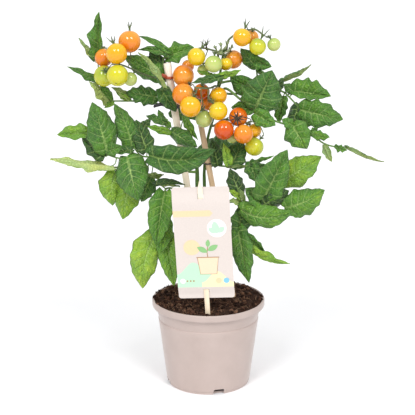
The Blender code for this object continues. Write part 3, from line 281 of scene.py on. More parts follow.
LEAVES = {
    "leaf_upper_left": sprout(
        "main", 316, [
            (172, 108, 24), (158, 104, 21), (145, 101, 15), (132.5, 101, 8), (119, 101, 6), (109, 101, 8),
        ],
        blade((98, 59, 23), (99.5, 12, 17), 20, 15, cut=0.5, skew=-0.5, arch=-0.04, shade=0.45),
        blade((98.3, 61, 23), (79.2, 37.6, 14), 13, 62, under=True),
        blade((99, 82, 19), (68, 66, 8), 16, 58, fold=8, shade=0.4),
        blade((110, 103, 7), (89.5, 81, -4), 17, 35, arch=0.05, cut=0.3, shade=0.5, under=True),
        blade((111, 102, 8), (102, 85, 0), 13, 10, shade=0.5),
        blade((131, 99, 8), (112, 87, -2), 11, 30, cut=0.3, under=True),
        blade((129, 100, 7), (116, 92, 2), 8, -10, cut=0.3, shade=0.75),
        blade((114, 103, 7), (104, 108, 6), 6, 20, shade=0.7),
        blade((157, 97, 16), (126, 92, 3), 24, 14, cut=0.35, teeth=3, shade=0.35),
        branch=[(109, 101, 8), (101, 88, 17), (98.5, 70, 23), (98, 60, 23)],
    ),
    "leaf_top_left": sprout(
        "main", 334, [(166, 92, 22), (163.5, 84, 21), (163, 68, 19), (163, 58, 19)],
        blade((164, 88, -4), (139, 52, -8), 15, 58, arch=0.04, under=True),
        blade((163, 77, 19), (124.4, 56, 14), 27, -8, fold=-4, arch=0.04, teeth=3, shade=0.5),
        # Painted shade: this leaflet lies in shadow behind the left cane and is given a very dark tone for it
        blade((167, 80, 22), (150, 49, 20), 21, 10, arch=0.05, shade=0.05),
        blade((171, 56, 20), (138.5, 49.5, 13), 13, 35, arch=0.12, fold=-10),
        blade((170, 53, 19), (139, 35.5, 20), 11, 42, arch=0.05, shade=0.4),
        blade((165, 58.5, 21), (194, 47, 27), 25, -20, cut=0.4, arch=0.05, shade=0.45),
        blade((160, 88, 5), (176, 112, 5), 21, -6, cut=0.25, shade=0.25),
        branch=[(166, 92, 22), (162.5, 91.5, 13), (160.5, 90.5, 5), (163, 88.5, -2)],
    ),
    "leaf_between_trusses": sprout(
        "side", 343, [(222, 80, -2), (223, 77, -14)],
        blade((222, 77.5, -15), (192, 82.5, -20), 12, 25, cut=0.45, teeth=3, shade=0.2),
        blade((214, 75, -12), (241, 70.5, -11), 13, 50, arch=0.05, shade=0.7),
        blade((213, 76, -11), (197, 70.5, -4), 8, 50, shade=0.6),
    ),
    "leaf_right_long": sprout(
        "side", 336, [
            (226, 88.5, 2), (240.7, 99.6, -2), (253, 108.5, -6), (264, 116, -7), (276.3, 121.4, -9),
            (292, 126.5, -10), (311, 134, -12), (323, 143, -13), (335, 146.7, -14), (347, 147, -15),
        ],
        blade((255, 108, -7), (272, 70.5, -17), 47, 8, fold=-7, arch=0.06, cut=0.16, teeth=3),
        blade((271, 92, -6), (284, 80, -8), 15, 8, shade=0.0),
        blade((254, 113, -8), (275.5, 125.5, -17), 22, 12, fold=6, cut=0.1, shade=0.5),
        blade((254, 109.5, -4), (231, 107, 4), 18, 15, cut=0.12, shade=0.45),
        blade((292, 124, -11), (307, 149, -18), 30, 12, fold=-8, arch=0.06, cut=0.12, shade=0.5),
        blade((293, 126, -12), (282, 119, -14), 13, 12, shade=0.45),
        blade((311, 134, -13), (329.5, 137.5, -20), 15, 35, fold=12, cut=0.5, shade=0.5),
        blade((311, 133, -13), (318, 127.5, -15), 8, 25, cut=0.3, shade=0.45),
        blade((335, 146.5, -15), (347, 150.5, -23), 10, 25, cut=0.5, shade=0.5),
        blade((324.7, 144.5, -13), (331.6, 162, -17), 11, 30, arch=0.05, under=True),
        blade((346, 147, -15), (383.8, 162.4, -23), 13, 72, arch=0.05, under=True),
    ),
    "leaf_right_upper": sprout(
        "side", 349, [
            (234, 81, 20), (256, 84, 18), (281, 91, 8), (288.4, 96.2, 6), (297, 105.3, 4), (302, 110, 2),
        ],
        blade((300, 109.5, 2), (343, 119.4, -10), 33, 8, fold=-6, arch=0.07, cut=0.25, teeth=3, shade=0.4),
        blade((292, 91, 6), (331, 96, -4), 27, -10, fold=6, cut=0.3, teeth=3, skew=-0.3, shade=0.45),
        blade((294, 92, 5), (284, 84, 3), 12, 10),
        blade((281, 79.5, 10), (311.4, 65.2, 4), 15, 68, sway=0.03, under=True),
        blade((283, 96, 8), (278, 123, 6), 18, 15, cut=0.45, teeth=3, shade=0.4),
        blade((299, 104, 5), (291, 128.5, 3), 25, 20, fold=-8, shade=0.08),
        branch=[(281, 91, 8), (280.5, 80, 10)],
    ),
    "leaf_top_right": sprout(
        "side", 338, [(232, 94, 24), (252, 90, 24), (257, 79, 18), (256.4, 70, 10), (256, 66, 8)],
        blade((257, 67, 8), (240.5, 48.5, 5), 20, -20, arch=0.05),
        blade((253, 60, 8), (271.5, 67, 1), 17, 18, shade=0.4),
        blade((256, 69, 9), (268, 79, 2), 9, 50, shade=0.35),
        blade((253, 91.5, 16), (230, 76, 11), 25, -8, teeth=3, shade=0.35),
    ),
    "leaf_right_middle": sprout(
        "side", 212, [
            (223, 203, 14), (232, 202, -4), (241, 203.5, -24), (253, 206.5, -30), (264, 205, -33),
            (276, 203, -35), (289, 205.5, -38),
        ],
        blade((263, 199, -33), (287.5, 150, -40), 38, 12, fold=9, arch=0.05, cut=0.12, teeth=3, skew=-0.12,
              shade=0.42),
        blade((283, 182, -25), (321.2, 156.5, -30), 33, -8, arch=0.05, skew=-0.08, shade=0.72),
        blade((287, 180, -24), (301, 181, -26), 12, 5, shade=0.7),
        blade((284, 207.5, -38), (324.5, 190, -48), 34, 4, fold=-8, sway=0.06, arch=0.08, teeth=3, shade=0.5),
        blade((289, 207, -40), (303, 217, -42), 14, 5, shade=0.5),
        blade((240, 209, -31), (293, 212, -52), 30, 18, fold=-8, sway=0.12, arch=0.06, cut=0.12, teeth=3,
              shade=0.5),
        blade((262, 203, -33), (245.5, 188, -36), 21, 18, cut=0.12, shade=0.35),
        blade((263, 205, -35), (289, 191, -44), 25, 18, cut=0.15, shade=0.0),
        blade((240, 195, -26), (230, 168.5, -22), 21, 12, cut=0.3, teeth=3, shade=0.02),
        blade((241, 199, -26), (228, 189.5, -34), 9, 35, cut=0.4, shade=0.8),
        blade((242, 203.5, -26), (229, 200, -36), 10, 35, cut=0.4, under=True),
        blade((244, 201, -27), (240, 189, -31), 8, 35, cut=0.4, under=True),
    ),
    "leaf_right_lower": sprout(
        "side", 198, [(226, 217, 13), (231, 221, -6), (237, 228, -26), (243, 237, -32), (249, 248, -33)],
        blade((238, 227, -29), (249, 283, -44), 25, 10, fold=7, arch=0.06, cut=0.16, teeth=3, shade=0.4),
        blade((240, 231, -29), (240, 206, -22), 25, 15, cut=0.15, shade=0.22),
        blade((247, 234, -31), (265, 253, -27), 15, 35, shade=0.42),
        blade((249.5, 248, -33), (289.5, 264.5, -44), 16, 45, sway=0.1, cut=0.35, shade=0.75),
    ),
    "leaf_left_middle": sprout(
        "main", 246, [
            (180, 171, 15), (166, 167, -4), (148, 163, -18), (130, 159.5, -27), (118, 158, -29),
            (108, 155, -30),
        ],
        blade((107, 152, -30), (92.4, 102.4, -40), 36, 10, fold=-6, arch=0.07, cut=0.1, teeth=3, skew=0.08,
              shade=0.42),
        blade((107, 151, -30), (122, 146, -34), 16, 10, shade=0.4),
        blade((127, 156, -29), (138, 200.5, -53), 40, 8, fold=-7, arch=0.07, cut=0.1, teeth=3, shade=0.4),
        blade((91, 133, -27), (57, 134.5, -24), 19, 12, cut=0.35, skew=0.2, shade=0.66),
        blade((105, 157, -27), (82, 137.5, -25), 21, 12, shade=0.12),
        blade((114, 167, -28), (50.7, 157.2, -22), 25, 62, sway=-0.04, cut=0.45, teeth=3, shade=0.95,
              under=True),
        blade((116, 171, -25), (113, 206, -22), 29, -14, sway=0.1, arch=0.05, cut=0.1, shade=0.78),
        blade((130, 180, -24), (122.5, 219.5, -32), 31, 10, arch=0.05, cut=0.12, shade=0.72),
        blade((151, 178, -19), (141, 202, -16), 22, 12, cut=0.3, teeth=3, shade=0.35),
        blade((146, 176, -20), (164, 175, -15), 12, 40, cut=0.3, under=True),
        blade((133, 150, -24), (112, 153, -30), 14, 40, shade=0.2),
        branch=[(130, 159.5, -27), (124, 170, -26), (119, 183, -24)],
    ),
    "leaf_left_centre": sprout(
        "main", 256, [(178, 160, 17.5), (165, 158, -6), (150, 157, -20), (141, 155.5, -23), (134, 148, -22)],
        blade((132, 149, -21), (114.5, 103.5, -20), 26, 10, fold=-6, sway=0.05, arch=0.05, teeth=3,
              shade=0.38),
        blade((149, 155, -32), (216, 149, -38), 35, -4, fold=9, sway=0.12, arch=0.05, cut=0.08, teeth=3,
              shade=0.27),
        blade((147, 152, -21), (136, 119.5, -15), 23, 10, shade=0.1),
        blade((140, 130, -14), (151, 119, -12), 11, 20, shade=0.1),
        branch=[(150, 157, -20), (149, 154, -32)],
    ),
    "leaf_centre_small": sprout(
        "main", 293, [(188, 134, 9), (181, 132.5, 1), (173.5, 132, -3), (168, 129.5, -6)],
        blade((171, 132.5, -9), (147.4, 126.2, -20), 10, 25, fold=14, shade=0.55),
        blade((171, 131, -5), (197, 147, -24), 21, 10, fold=-12, arch=0.06, cut=0.1, shade=0.35),
        blade((166, 123, -8), (146, 115.5, -8), 12, 15, cut=0.4, shade=0.2),
        blade((164, 124, -8), (158.5, 109.5, -5), 10, 20, cut=0.3, shade=0.2),
        blade((170, 128, -6), (163, 117, -3), 8, 20, cut=0.3, shade=0.5),
        blade((184, 116, -2), (197.5, 140, -4), 11, 30, shade=0.55),
    ),
    "leaf_left_lower": sprout(
        "main", 222, [
            (184, 193, 14), (175, 189, -8), (166, 189, -23), (164, 200, -26), (165, 220, -27),
            (167, 234, -28),
        ],
        blade((165, 191.5, -28), (156, 246, -44), 31, 10, fold=6, arch=0.06, cut=0.08, teeth=3, shade=0.5),
        blade((166, 220, -28), (161, 252, -42), 22, 20, shade=0.55),
        blade((156, 233, -27), (143, 289, -34), 36, -15, fold=-8, sway=0.1, arch=0.08, cut=0.08, teeth=3,
              shade=0.82),
        blade((166, 233, -28), (174, 286.4, -44), 25, 10, cut=0.1, teeth=3, shade=0.62),
        blade((154, 185, -25), (185, 185.5, -31), 12, 50, sway=-0.13, shade=0.08),
        blade((158, 184.5, -24), (180, 187, -26), 6, 55, sway=-0.1, under=True),
        branch=[(166, 189, -23), (158, 183, -24)],
    ),
    "leaf_below_truss": sprout(
        "side", 250, [(214, 165, 15), (222, 166, 0), (231, 167, -11), (241, 168, -14), (250, 163, -14)],
        blade((231, 167, -12), (243, 140, 4), 26, -10, fold=8, shade=0.2),
        blade((229, 166, -13), (223.5, 143, -9), 13, 25, shade=0.85),
        blade((227, 167, -14), (249, 166, -17), 8, 55, under=True),
        blade((218, 166, 1), (212, 139, 4), 17, 10, shade=0.05),
        blade((249.5, 161, -14), (258, 183, -24), 19, 15, cut=0.25),
        blade((247, 168, -16), (268, 166, -20), 14, 20, cut=0.3, shade=0.1),
        blade((250, 163, -13), (274, 156.5, -14), 8, 62, shade=0.5),
    ),
    "leaf_back_upper": sprout(
        "main", 307, [(184, 119, 34), (189, 112, 60), (194, 104, 88)],
        blade((194, 104, 86), (199, 96, 130), 30, 20, fold=-8, arch=0.08, cut=0.25, teeth=3),
        blade((190, 109, 72), (176, 107, 100), 22, 15),
        blade((190, 110, 70), (210, 100, 92), 24, 15),
        blade((187, 114, 50), (168, 113, 60), 24, 20, cut=0.3),
        blade((187, 114, 50), (207, 107, 58), 22, 20, cut=0.3),
    ),
    "leaf_back_lower": sprout(
        "side", 262, [(211, 152, 36), (216, 147, 60), (222, 140, 86)],
        blade((222, 140, 84), (229, 134, 128), 30, 20, fold=-8, arch=0.08, cut=0.25, teeth=3),
        blade((218, 145, 70), (203, 144, 96), 24, 15),
        blade((218, 145, 70), (240, 138, 92), 25, 15),
        blade((213.5, 150, 48), (196, 150, 60), 24, 20, cut=0.3),
        blade((213.5, 150, 48), (233, 146, 58), 22, 20, cut=0.3),
    ),
}


def fruit(spot, size, colour, top, via, sepals, lift, dark=False):
    """A tomato: its middle, diameter and colour, which way its calyx points, the spots its pedicel passes,
    its sepals' length and lift, and whether they have dried dark."""
    return dict(spot=spot, size=size, colour=colour, top=top, via=via, sepals=sepals, lift=lift, dark=dark)


TRUSSES = {
    "left": sprout(
        "main", 348, [
            (166.5, 81, 20), (163, 80, 14), (155, 78, 9), (143, 74, 4), (133, 69.5, 1), (122, 65, -1),
            (112, 64, 0),
        ],
        fruit((129.6, 41.6, 0), 24.6, "orange", (0, 0.1, 1), [(130, 29, 9), (131, 44, 18), (130, 60, 8)], 8,
              58),
        fruit((116.7, 53.7, -16), 23.0, "amber", (-0.3, 0.5, 0.8), [(117, 47, -1), (120, 57, 3)], 9, 42),
        fruit((103.8, 57.7, 8), 20.0, "orange", (-0.1, 0.6, 0.75), [(107, 49, 23), (116, 58, 17)], 6, 20),
        fruit((104.4, 76, -2), 23.4, "lime", (0.2, -0.8, 0.56), [(109.5, 67, -12)], 5.5, 8),
        fruit((117.6, 75.5, -20.5), 23.6, "lime", (0.1, 0.75, 0.62), [(121, 66, -7)], 4.5, 14),
        fruit((130.2, 79, -5), 15.6, "green", (0.5, 0.3, 0.8), [], 5, 15),
    ),
    "top": sprout(
        "side", 373, [(217, 52.5, 4), (210, 49.5, 2), (203, 48, 2), (198, 48.5, 6)],
        fruit((196.5, 56.8, -6), 20.0, "yellow", (0.5, 0.15, 0.85), [], 11, 55),
        fruit((213.6, 64, -12), 19.0, "green", (0.1, 0.3, 0.95), [(214.5, 53.5, -3)], 7, 30),
        fruit((225.8, 64, -1.5), 14.5, "yellow", (-0.1, -0.1, 1), [(224.5, 55, -2)], 6, 20),
        fruit((233.2, 59.5, 14), 21.0, "orange", (-0.3, -0.2, 0.93), [(229, 52, 6), (222, 55, -1)], 3.8, 25),
        fruit((188, 66, 23), 14.0, "orange", (0.3, 0.3, 0.9), [(193, 54, 18)], 5, 20),
        fruit((202.7, 70, 1), 12.0, "green", (0.1, 0.5, 0.85), [(205, 58, 7)], 5, 20),
    ),
    "middle": sprout(
        "side", 338, [(216, 86, 0), (210, 88, -13), (200, 88, -16), (194.5, 87.5, -15)],
        fruit((183.4, 75.7, 6), 24.0, "orange", (0.55, -0.6, -0.58), [(193, 84.5, -9)], 3.5, 20),
        fruit((183.3, 94.6, -9.5), 24.8, "orange", (0.88, -0.2, 0.3), [], 6, 10),
        fruit((190.4, 106.8, -28.5), 23.0, "amber", (0.3, 0.4, 0.87), [(196, 93, -19)], 6, 15),
        fruit((204, 119, -12), 19.0, "green", (-0.15, 0, 1), [(203, 103, -14), (201, 94, -16)], 7, 30),
        fruit((218.3, 111, -21), 20.6, "yellow", (-0.55, 0.1, 0.83), [(209, 98, -18)], 6, 15),
        fruit((218.5, 95.6, -5), 19.0, "amber", (-0.82, -0.4, -0.35), [(208, 95, -14)], 5, 8),
        fruit((201.6, 91.5, 1.5), 18.0, "red", (0.1, -0.5, 0.85), [], 4, 15),
        fruit((207.8, 103.3, 9.5), 16.0, "orange", (0.3, 0.4, 0.87), [(211.5, 92, 9), (214, 86.5, 1)], 5, 20),
    ),
    "right": sprout(
        "side", 300, [(224, 119.5, 8), (234, 121.5, 4), (244, 123, 0), (250, 122, -8), (251, 121, -14)],
        fruit((223.9, 129.9, -24), 22.0, "red", (0.3, 0.45, 0.84), [(227, 119.5, -8)], 3.5, 25),
        fruit((243.4, 134.1, -24), 21.4, "orange", (0.35, 0.4, 0.85), [], 4, 15),
        fruit((238.2, 116.9, -14), 20.6, "red", (-0.15, -0.97, 0.05), [(243, 117, -28), (250, 119, -22)], 9,
              10, True),
        fruit((254.3, 146.7, -12), 21.0, "lime", (0.6, 0.1, 0.79), [(263.5, 134, -14), (259, 125, -14)], 6,
              25),
        fruit((254.3, 130.7, -3), 16.0, "amber", (-0.55, 0.5, 0.67), [], 3.5, 15),
        fruit((232, 138, -9), 12.0, "green", (0, 0.5, 0.85), [(233, 128, 0)], 4, 20),
    ),
    "top_right": sprout(
        "side", 386, [
            (228, 41, 8), (233, 36, 9), (241, 30.5, 10), (249, 30, 5), (255.5, 29.5, 0), (263.9, 35.5, -2),
        ],
        fruit((242.1, 37.4, -4), 20.0, "amber", (0.3, 0.3, 0.9), [(246.5, 26.5, 3)], 9, 50),
        fruit((251.5, 37.5, 15), 16.0, "orange", (0.1, -0.4, 0.9), [], 5, 20),
        fruit((257.6, 46.6, -4), 18.8, "lime", (0.4, 0.1, 0.9), [], 12, 55),
        fruit((273.9, 44.6, -2), 14.8, "green", (-0.5, 0.1, 0.85), [(268, 37, -1)], 6, 30),
    ),
}


class Pile:
    """Collects the points, faces and point values of one piece."""

    def __init__(self):
        self.points, self.faces, self.slots, self.shades, self.veins = [], [], [], [], []

    def add(self, points, faces, slot, shades, veins=None):
        """Takes a shade for each point, or one for them all."""
        first = len(self.points)
        self.points += points
        self.faces += [tuple(first + index for index in face) for face in faces]
        self.slots += [slot] * len(faces)
        self.shades += shades if isinstance(shades, list) else [shades] * len(points)
        self.veins += veins or [0.0] * len(points)

    def mesh(self, name, *materials):
        mesh = bpy.data.meshes.new(name)
        mesh.from_pydata([tuple(point * MM) for point in self.points], [], self.faces)
        for key in materials:
            mesh.materials.append(MATERIALS[key])
        mesh.polygons.foreach_set("material_index", self.slots)
        return mesh

    def piece(self, name, materials, record_slot, *nodes):
        """The mesh object, riding on the root in place of its CAD nodes."""
        mesh = self.mesh(name, *materials)
        for label, values in (("shade", self.shades), ("vein", self.veins)):
            mesh.attributes.new(label, "FLOAT", "POINT").data.foreach_set("value", values)
        shape = bmesh.new()
        shape.from_mesh(mesh)
        bmesh.ops.remove_doubles(shape, verts=shape.verts, dist=MERGE * MM)
        bmesh.ops.recalc_face_normals(shape, faces=shape.faces)
        shape.to_mesh(mesh)
        shape.free()
        mesh.shade_smooth()
        return dress(put(name, mesh), record_slot, *nodes)


def put(name, data):
    """A new object in the scene."""
    made = bpy.data.objects.new(name, data)
    bpy.context.scene.collection.objects.link(made)
    return made


def new_mesh(name, shape):
    """A mesh from a bmesh, which is freed."""
    mesh = bpy.data.meshes.new(name)
    shape.to_mesh(mesh)
    shape.free()
    return mesh


def dress(made, record_slot, *nodes):
    """Makes an object ride on the plant and stand for its CAD nodes; the record slot is not used."""
    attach(made, "root")
    if nodes:
        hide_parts(*nodes)
    return made


def spoke(angle, radius=1.0, height=0.0):
    """The point at an angle, a distance and a height round Z."""
    return Vector((radius * math.cos(angle), radius * math.sin(angle), height))


def swung(side, other, angle):
    """One direction turned by an angle towards another that is square to it."""
    return side * math.cos(angle) + other * math.sin(angle)


def square_to(along, direction):
    """The part of a direction that is square to another, made a unit long."""
    return (direction - along * direction.dot(along)).normalized()


def tube_faces(rings, sides):
    """The faces of a closed tube: the wall, ring by ring, and both ends."""
    faces = []
    for ring in range(rings - 1):
        for corner in range(sides):
            first, second = ring * sides + corner, ring * sides + (corner + 1) % sides
            faces.append((first, second, second + sides, first + sides))
    last = rings * sides
    return [*faces, tuple(reversed(range(sides))), tuple(range(last - sides, last))]


def sheet_faces(rows, width):
    """The faces of a sheet of points, row by row."""
    starts = [row * width + column for row in range(rows - 1) for column in range(width - 1)]
    return [(first, first + 1, first + width + 1, first + width) for first in starts]


def smooth_path(points, steps):
    """Points along a smooth curve through the given points."""
    ends = [points[0] * 2 - points[1], *points, points[-1] * 2 - points[-2]]
    path = [points[0].copy()]
    for before, start, end, after in zip(ends, ends[1:], ends[2:], ends[3:]):
        for step in range(1, steps + 1):
            t = step / steps
            line = 2 * start + (end - before) * t
            line += (2 * before - 5 * start + 4 * end - after) * t * t
            line += (3 * start - before - 3 * end + after) * t**3
            path.append(line * 0.5)
    return path


def tube(pile, path, radius, sides, slot, shade):
    """A closed round tube; radius is a function of the share of its length."""
    points = []
    side = (path[1] - path[0]).normalized().orthogonal().normalized()
    for index, point in enumerate(path):
        along = (path[min(index + 1, len(path) - 1)] - path[max(index - 1, 0)]).normalized()
        side = square_to(along, side)
        other = along.cross(side)
        share = index / (len(path) - 1)
        for corner in range(sides):
            points.append(point + swung(side, other, 2 * math.pi * corner / sides) * radius(share))
    pile.add(points, tube_faces(len(path), sides), slot, shade)


def taper(low, high):
    return lambda share: low + (high - low) * share


def nearest_on(path, point):
    """The point of a path that lies nearest to another point."""
    spots = []
    for low, high in zip(path, path[1:]):
        run = high - low
        spots.append(low + run * max(0.0, min(1.0, (point - low).dot(run) / run.length_squared)))
    return min(spots, key=lambda spot: (spot - point).length)


def stem_paths():
    """The smooth centre lines of both stems, from just inside the soil up."""
    main = places(STEM_MAIN)
    foot = Vector((main[0].x, main[0].y, SOIL_Z - STEM_SINK))
    main = smooth_path([foot, *main], STEM_STEPS)
    side = smooth_path([main[STEM_FORK], *places(STEM_SIDE)], STEM_STEPS)
    return {"main": main, "side": side}


STEM_PATHS = stem_paths()
STEM_RADII = {"main": STEM_MAIN_RADII, "side": STEM_SIDE_RADII}


def stem_at(stem, height):
    """The stem's centre, direction and radius at a height."""
    path = STEM_PATHS[stem]
    for index, (low, high) in enumerate(zip(path, path[1:])):
        if low.z <= height <= high.z:
            share = (height - low.z) / (high.z - low.z)
            radii = STEM_RADII[stem]
            radius = radii[0] + (radii[1] - radii[0]) * (index + share) / (len(path) - 1)
            return low.lerp(high, share), (high - low).normalized(), radius
    raise ValueError(f"no stem at {height}")


def stalk_from_stem(entry):
    """A stalk's smooth centre line, growing square out of the stem before it bends away."""
    centre, along, radius = stem_at(entry["stem"], entry["seat"])
    points = places(entry["stalk"])
    out = square_to(along, points[0] - centre)
    points = [centre + out * (radius * 0.5), centre + out * (radius + STALK_STUB), *points]
    return smooth_path(points, STALK_STEPS)


class Leaflet:
    """The frame, the outline and the relief of one blade."""

    def __init__(self, settings, seed):
        self.settings = settings
        self.base = place(settings["base"])
        tip = place(settings["tip"])
        self.length = (tip - self.base).length
        self.along = (tip - self.base).normalized()
        view = (EYE - (self.base + tip) / 2).normalized()
        facing = square_to(self.along, view)
        self.normal = swung(facing, self.along.cross(facing), math.radians(settings["turn"]))
        self.side = self.along.cross(self.normal)
        self.relief = -1 if settings["under"] else 1
        fewest, most = VEIN_COUNTS
        self.veins = max(fewest, min(most, round(self.length / VEIN_SPACING)))
        chance = random.Random(seed)
        self.curl = chance.choice((-1, 1, 1)) * chance.uniform(*CURLS)
        self.twist = math.radians(chance.uniform(-TWIST, TWIST))
        self.wave_starts = [chance.uniform(0, 2 * math.pi) for _ in range(3)]

    def middle(self, u):
        bow = 4 * u * (1 - u) * self.length
        bend = self.normal * self.settings["arch"] + self.side * self.settings["sway"]
        return self.base + self.along * (self.length * u) + bend * bow

    def reach(self, u, way, phase):
        """From the midrib to the edge, at a share of the length; phase is 0 where a side vein ends."""
        settings = self.settings
        wave = math.cos(2 * math.pi * (u - TEETH_FROM) * settings["teeth"] / TEETH_SPAN)
        tooth = 0.5 - 0.5 * wave * way
        full = math.sqrt(u) * (1 - u) ** 0.9 / BLADE_PEAK
        cut = CUT_DEPTH * settings["cut"]
        half = settings["wide"] / 2 * full * (1 - cut * (1 - tooth))
        half *= 1 + way * settings["skew"]
        half *= BLADE_SPARE
        point = abs(phase - round(phase)) * 2
        half *= 1 + (0.07 + 0.1 * cut) * (0.5 - point)
        half *= 1 + EDGE_UNEVEN * noise.noise(Vector((5 * u, 9.3 * way, self.wave_starts[0] * 5)))
        fold = math.radians(settings["fold"] + self.curl)
        forward = TEETH_LEAN * cut * tooth * self.length * TEETH_SPAN / settings["teeth"] / 2
        forward -= LOBE * self.length * max(0.0, 1 - u / 0.35) ** 2 * min(1, u / 0.03)
        fold += way * self.twist * (u - 0.4)
        out = self.side * (way * math.cos(fold)) + self.normal * math.sin(fold)
        return out * half + self.along * forward, half

    def row(self, s, way, phase):
        """The surface points from the midrib to the edge along one side vein's line."""
        u_edge = 1 - (1 - s) ** 1.8
        reach, half = self.reach(min(u_edge, 1.0), way, phase)
        vein = max(0.0, 1 - abs(phase - round(phase)) / VEIN_HALF)
        between = math.sin(math.pi * (phase % 1.0))
        spacing = self.length / self.veins
        points, shades, veins = [], [], []
        lift = self.normal * self.relief
        for column, t in enumerate(COLUMNS):
            u = s + (u_edge - s) * t**1.3
            point = self.middle(u) + reach * t
            crown = CROWN * half * math.sin(math.pi * t)
            rung = 2 * math.pi * t * half / LADDER_STEP + self.wave_starts[0] + 9 * s
            ladder = 0.62 + 0.38 * math.cos(rung)
            rise = between**0.7 * math.sin(math.pi * min(t * 1.05, 1)) ** 0.6 * ladder
            puff = PUFF * spacing * rise
            swing = math.sin(2 * math.pi * END_WAVES * u + self.wave_starts[1 if way > 0 else 2])
            wave = EDGE_WAVE * half * t * t * swing * min(1, 4 * (1 - u))
            droop = -TIP_DROOP * max(0.0, u - DROOP_FROM) ** 2 * self.length
            rough = noise.noise(point * 0.35) * 0.5 * min(1, half / 6)
            sunk = -0.3 * (t == 0) * (1 - 0.6 * s)
            points.append(point + lift * (puff + sunk + rough + crown) + self.normal * (wave + droop))
            line = 0.85 * vein * (1 - 0.7 * t)
            if column == 0:
                line = 1.2 - 0.5 * s
            elif column == 1:
                line = max(line, 0.6 - 0.6 * s)
            elif column == len(COLUMNS) - 1:
                line = max(line, 0.2)
            patch = noise.noise(point * 0.09 + Vector((7, 3, 1)) * self.wave_starts[0])
            # Painted shade and light: the point's shade rises on the tops of the puffs and falls in the
            # hollows between them
            painted_puff_shade = PUFF_PAINTED_SHADE * (1 - 0.45 * self.settings["shade"]) * (rise - 0.35)
            shades.append(self.settings["shade"] + PATCH_SHADE * patch + 0.05 * t + painted_puff_shade)
            veins.append(line)
        return points, shades, veins

    def grow(self, pile):
        """Adds both faces of the blade, joined along the edge."""
        rows = []
        for index in range(len(VEIN_PHASES) * self.veins + 5):
            whole, part = divmod(index, len(VEIN_PHASES))
            phase = whole + VEIN_PHASES[part]
            s = min(1.0, phase / (self.veins + 0.5))
            s = 0.004 + 0.996 * s
            left, right = self.row(s, -1, phase + 0.5), self.row(s, 1, phase)
            rows.append([list(reversed(left[part])) + right[part][1:] for part in range(3)])
        width = len(rows[0][0])
        top, shades, veins = ([value for row in rows for value in row[part]] for part in range(3))
        bottom = []
        for index, point in enumerate(top):
            t = COLUMNS[abs(index % width - len(COLUMNS) + 1)]
            rib = RIB_DEPTH * (t == 0) * (1 - 0.7 * (index // width) / len(rows))
            depth = 0 if t == 1 else BLADE_THICKNESS + rib
            bottom.append(point - self.normal * (depth * self.relief))
        faces = sheet_faces(len(rows), width)
        pile.add(top, faces, 0, shades, veins)
        pile.add(bottom, [tuple(reversed(face)) for face in faces], 1, shades, veins)


def leaf(name, entry, seed):
    pile = Pile()
    rachis = stalk_from_stem(entry)
    lines = [rachis]
    tube(pile, rachis, lambda s: taper(*STALK_RADII)(s) + 0.9 * (1 - s) ** 12, 8, 2, STALK_SHADE)
    if entry["branch"]:
        branch = smooth_path(places(entry["branch"]), STALK_STEPS)
        branch[0] = nearest_on(rachis, branch[0])
        lines.append(branch)
        tube(pile, branch, taper(STALK_RADII[1], BRANCH_END_RADIUS), 8, 2, STALK_SHADE)
    for number, settings in enumerate(entry["parts"]):
        leaflet = Leaflet(settings, seed * 20 + number)
        roots = [nearest_on(line, leaflet.base) for line in lines]
        root = min(roots, key=lambda point: (point - leaflet.base).length)
        path = smooth_path([root, leaflet.base.lerp(root, 0.3), leaflet.middle(0.1), leaflet.middle(0.3)], 3)
        tube(pile, path, taper(*LEAFLET_STALK_RADII), 6, 2, STALK_SHADE + 0.1)
        leaflet.grow(pile)
    pile.piece(name + "_dressed", ("leaf", "leaf_under", "stalk"), "leaf", name)


def sepal(pile, seat, flat, top, length, slot, chance, wide=SEPAL_HALF, pale=False):
    """A narrow pointed strip that rises from the seat and curls back at its end."""
    side = flat.cross(top).normalized()
    lift = chance.uniform(*SEPAL_LIFTS)
    shade = chance.uniform(*SEPAL_SHADES)
    points, shades = [], []
    for step in range(SEPAL_STEPS + 1):
        s = step / SEPAL_STEPS
        centre = seat + flat * (length * s * (1 - 0.12 * s))
        centre += top * (0.5 + length * (0.55 * s - 0.35 * s * s) * lift)
        half = wide * (1 - s) ** 0.75 * (0.55 + 1.2 * s * (1 - s)) + 0.05
        points += [centre - side * half, centre + top * 0.28 * (1 - s) + top * 0.05, centre + side * half]
        points.append(centre - top * 0.3 * (1 - s))
        shades += [1 - 0.3 * s if pale else shade * (1 - 0.85 * s)] * 4
    pile.add(points, tube_faces(SEPAL_STEPS + 1, 4), slot, shades)


def calyx(pile, seat, top, count, start, loose, rise, length, range_of_lengths, slot, chance, *style):
    """A ring of sepals: start and loose turn them, and rise says how far each goes out and up."""
    side = top.orthogonal().normalized()
    other = top.cross(side)
    for index in range(count):
        flat = swung(side, other, 2 * math.pi * (index + start) / count + chance.uniform(-loose, loose))
        out = (flat * rise[0] + top * rise[1]).normalized()
        sepal(pile, seat, out, top, length * chance.uniform(*range_of_lengths), slot, chance, *style)


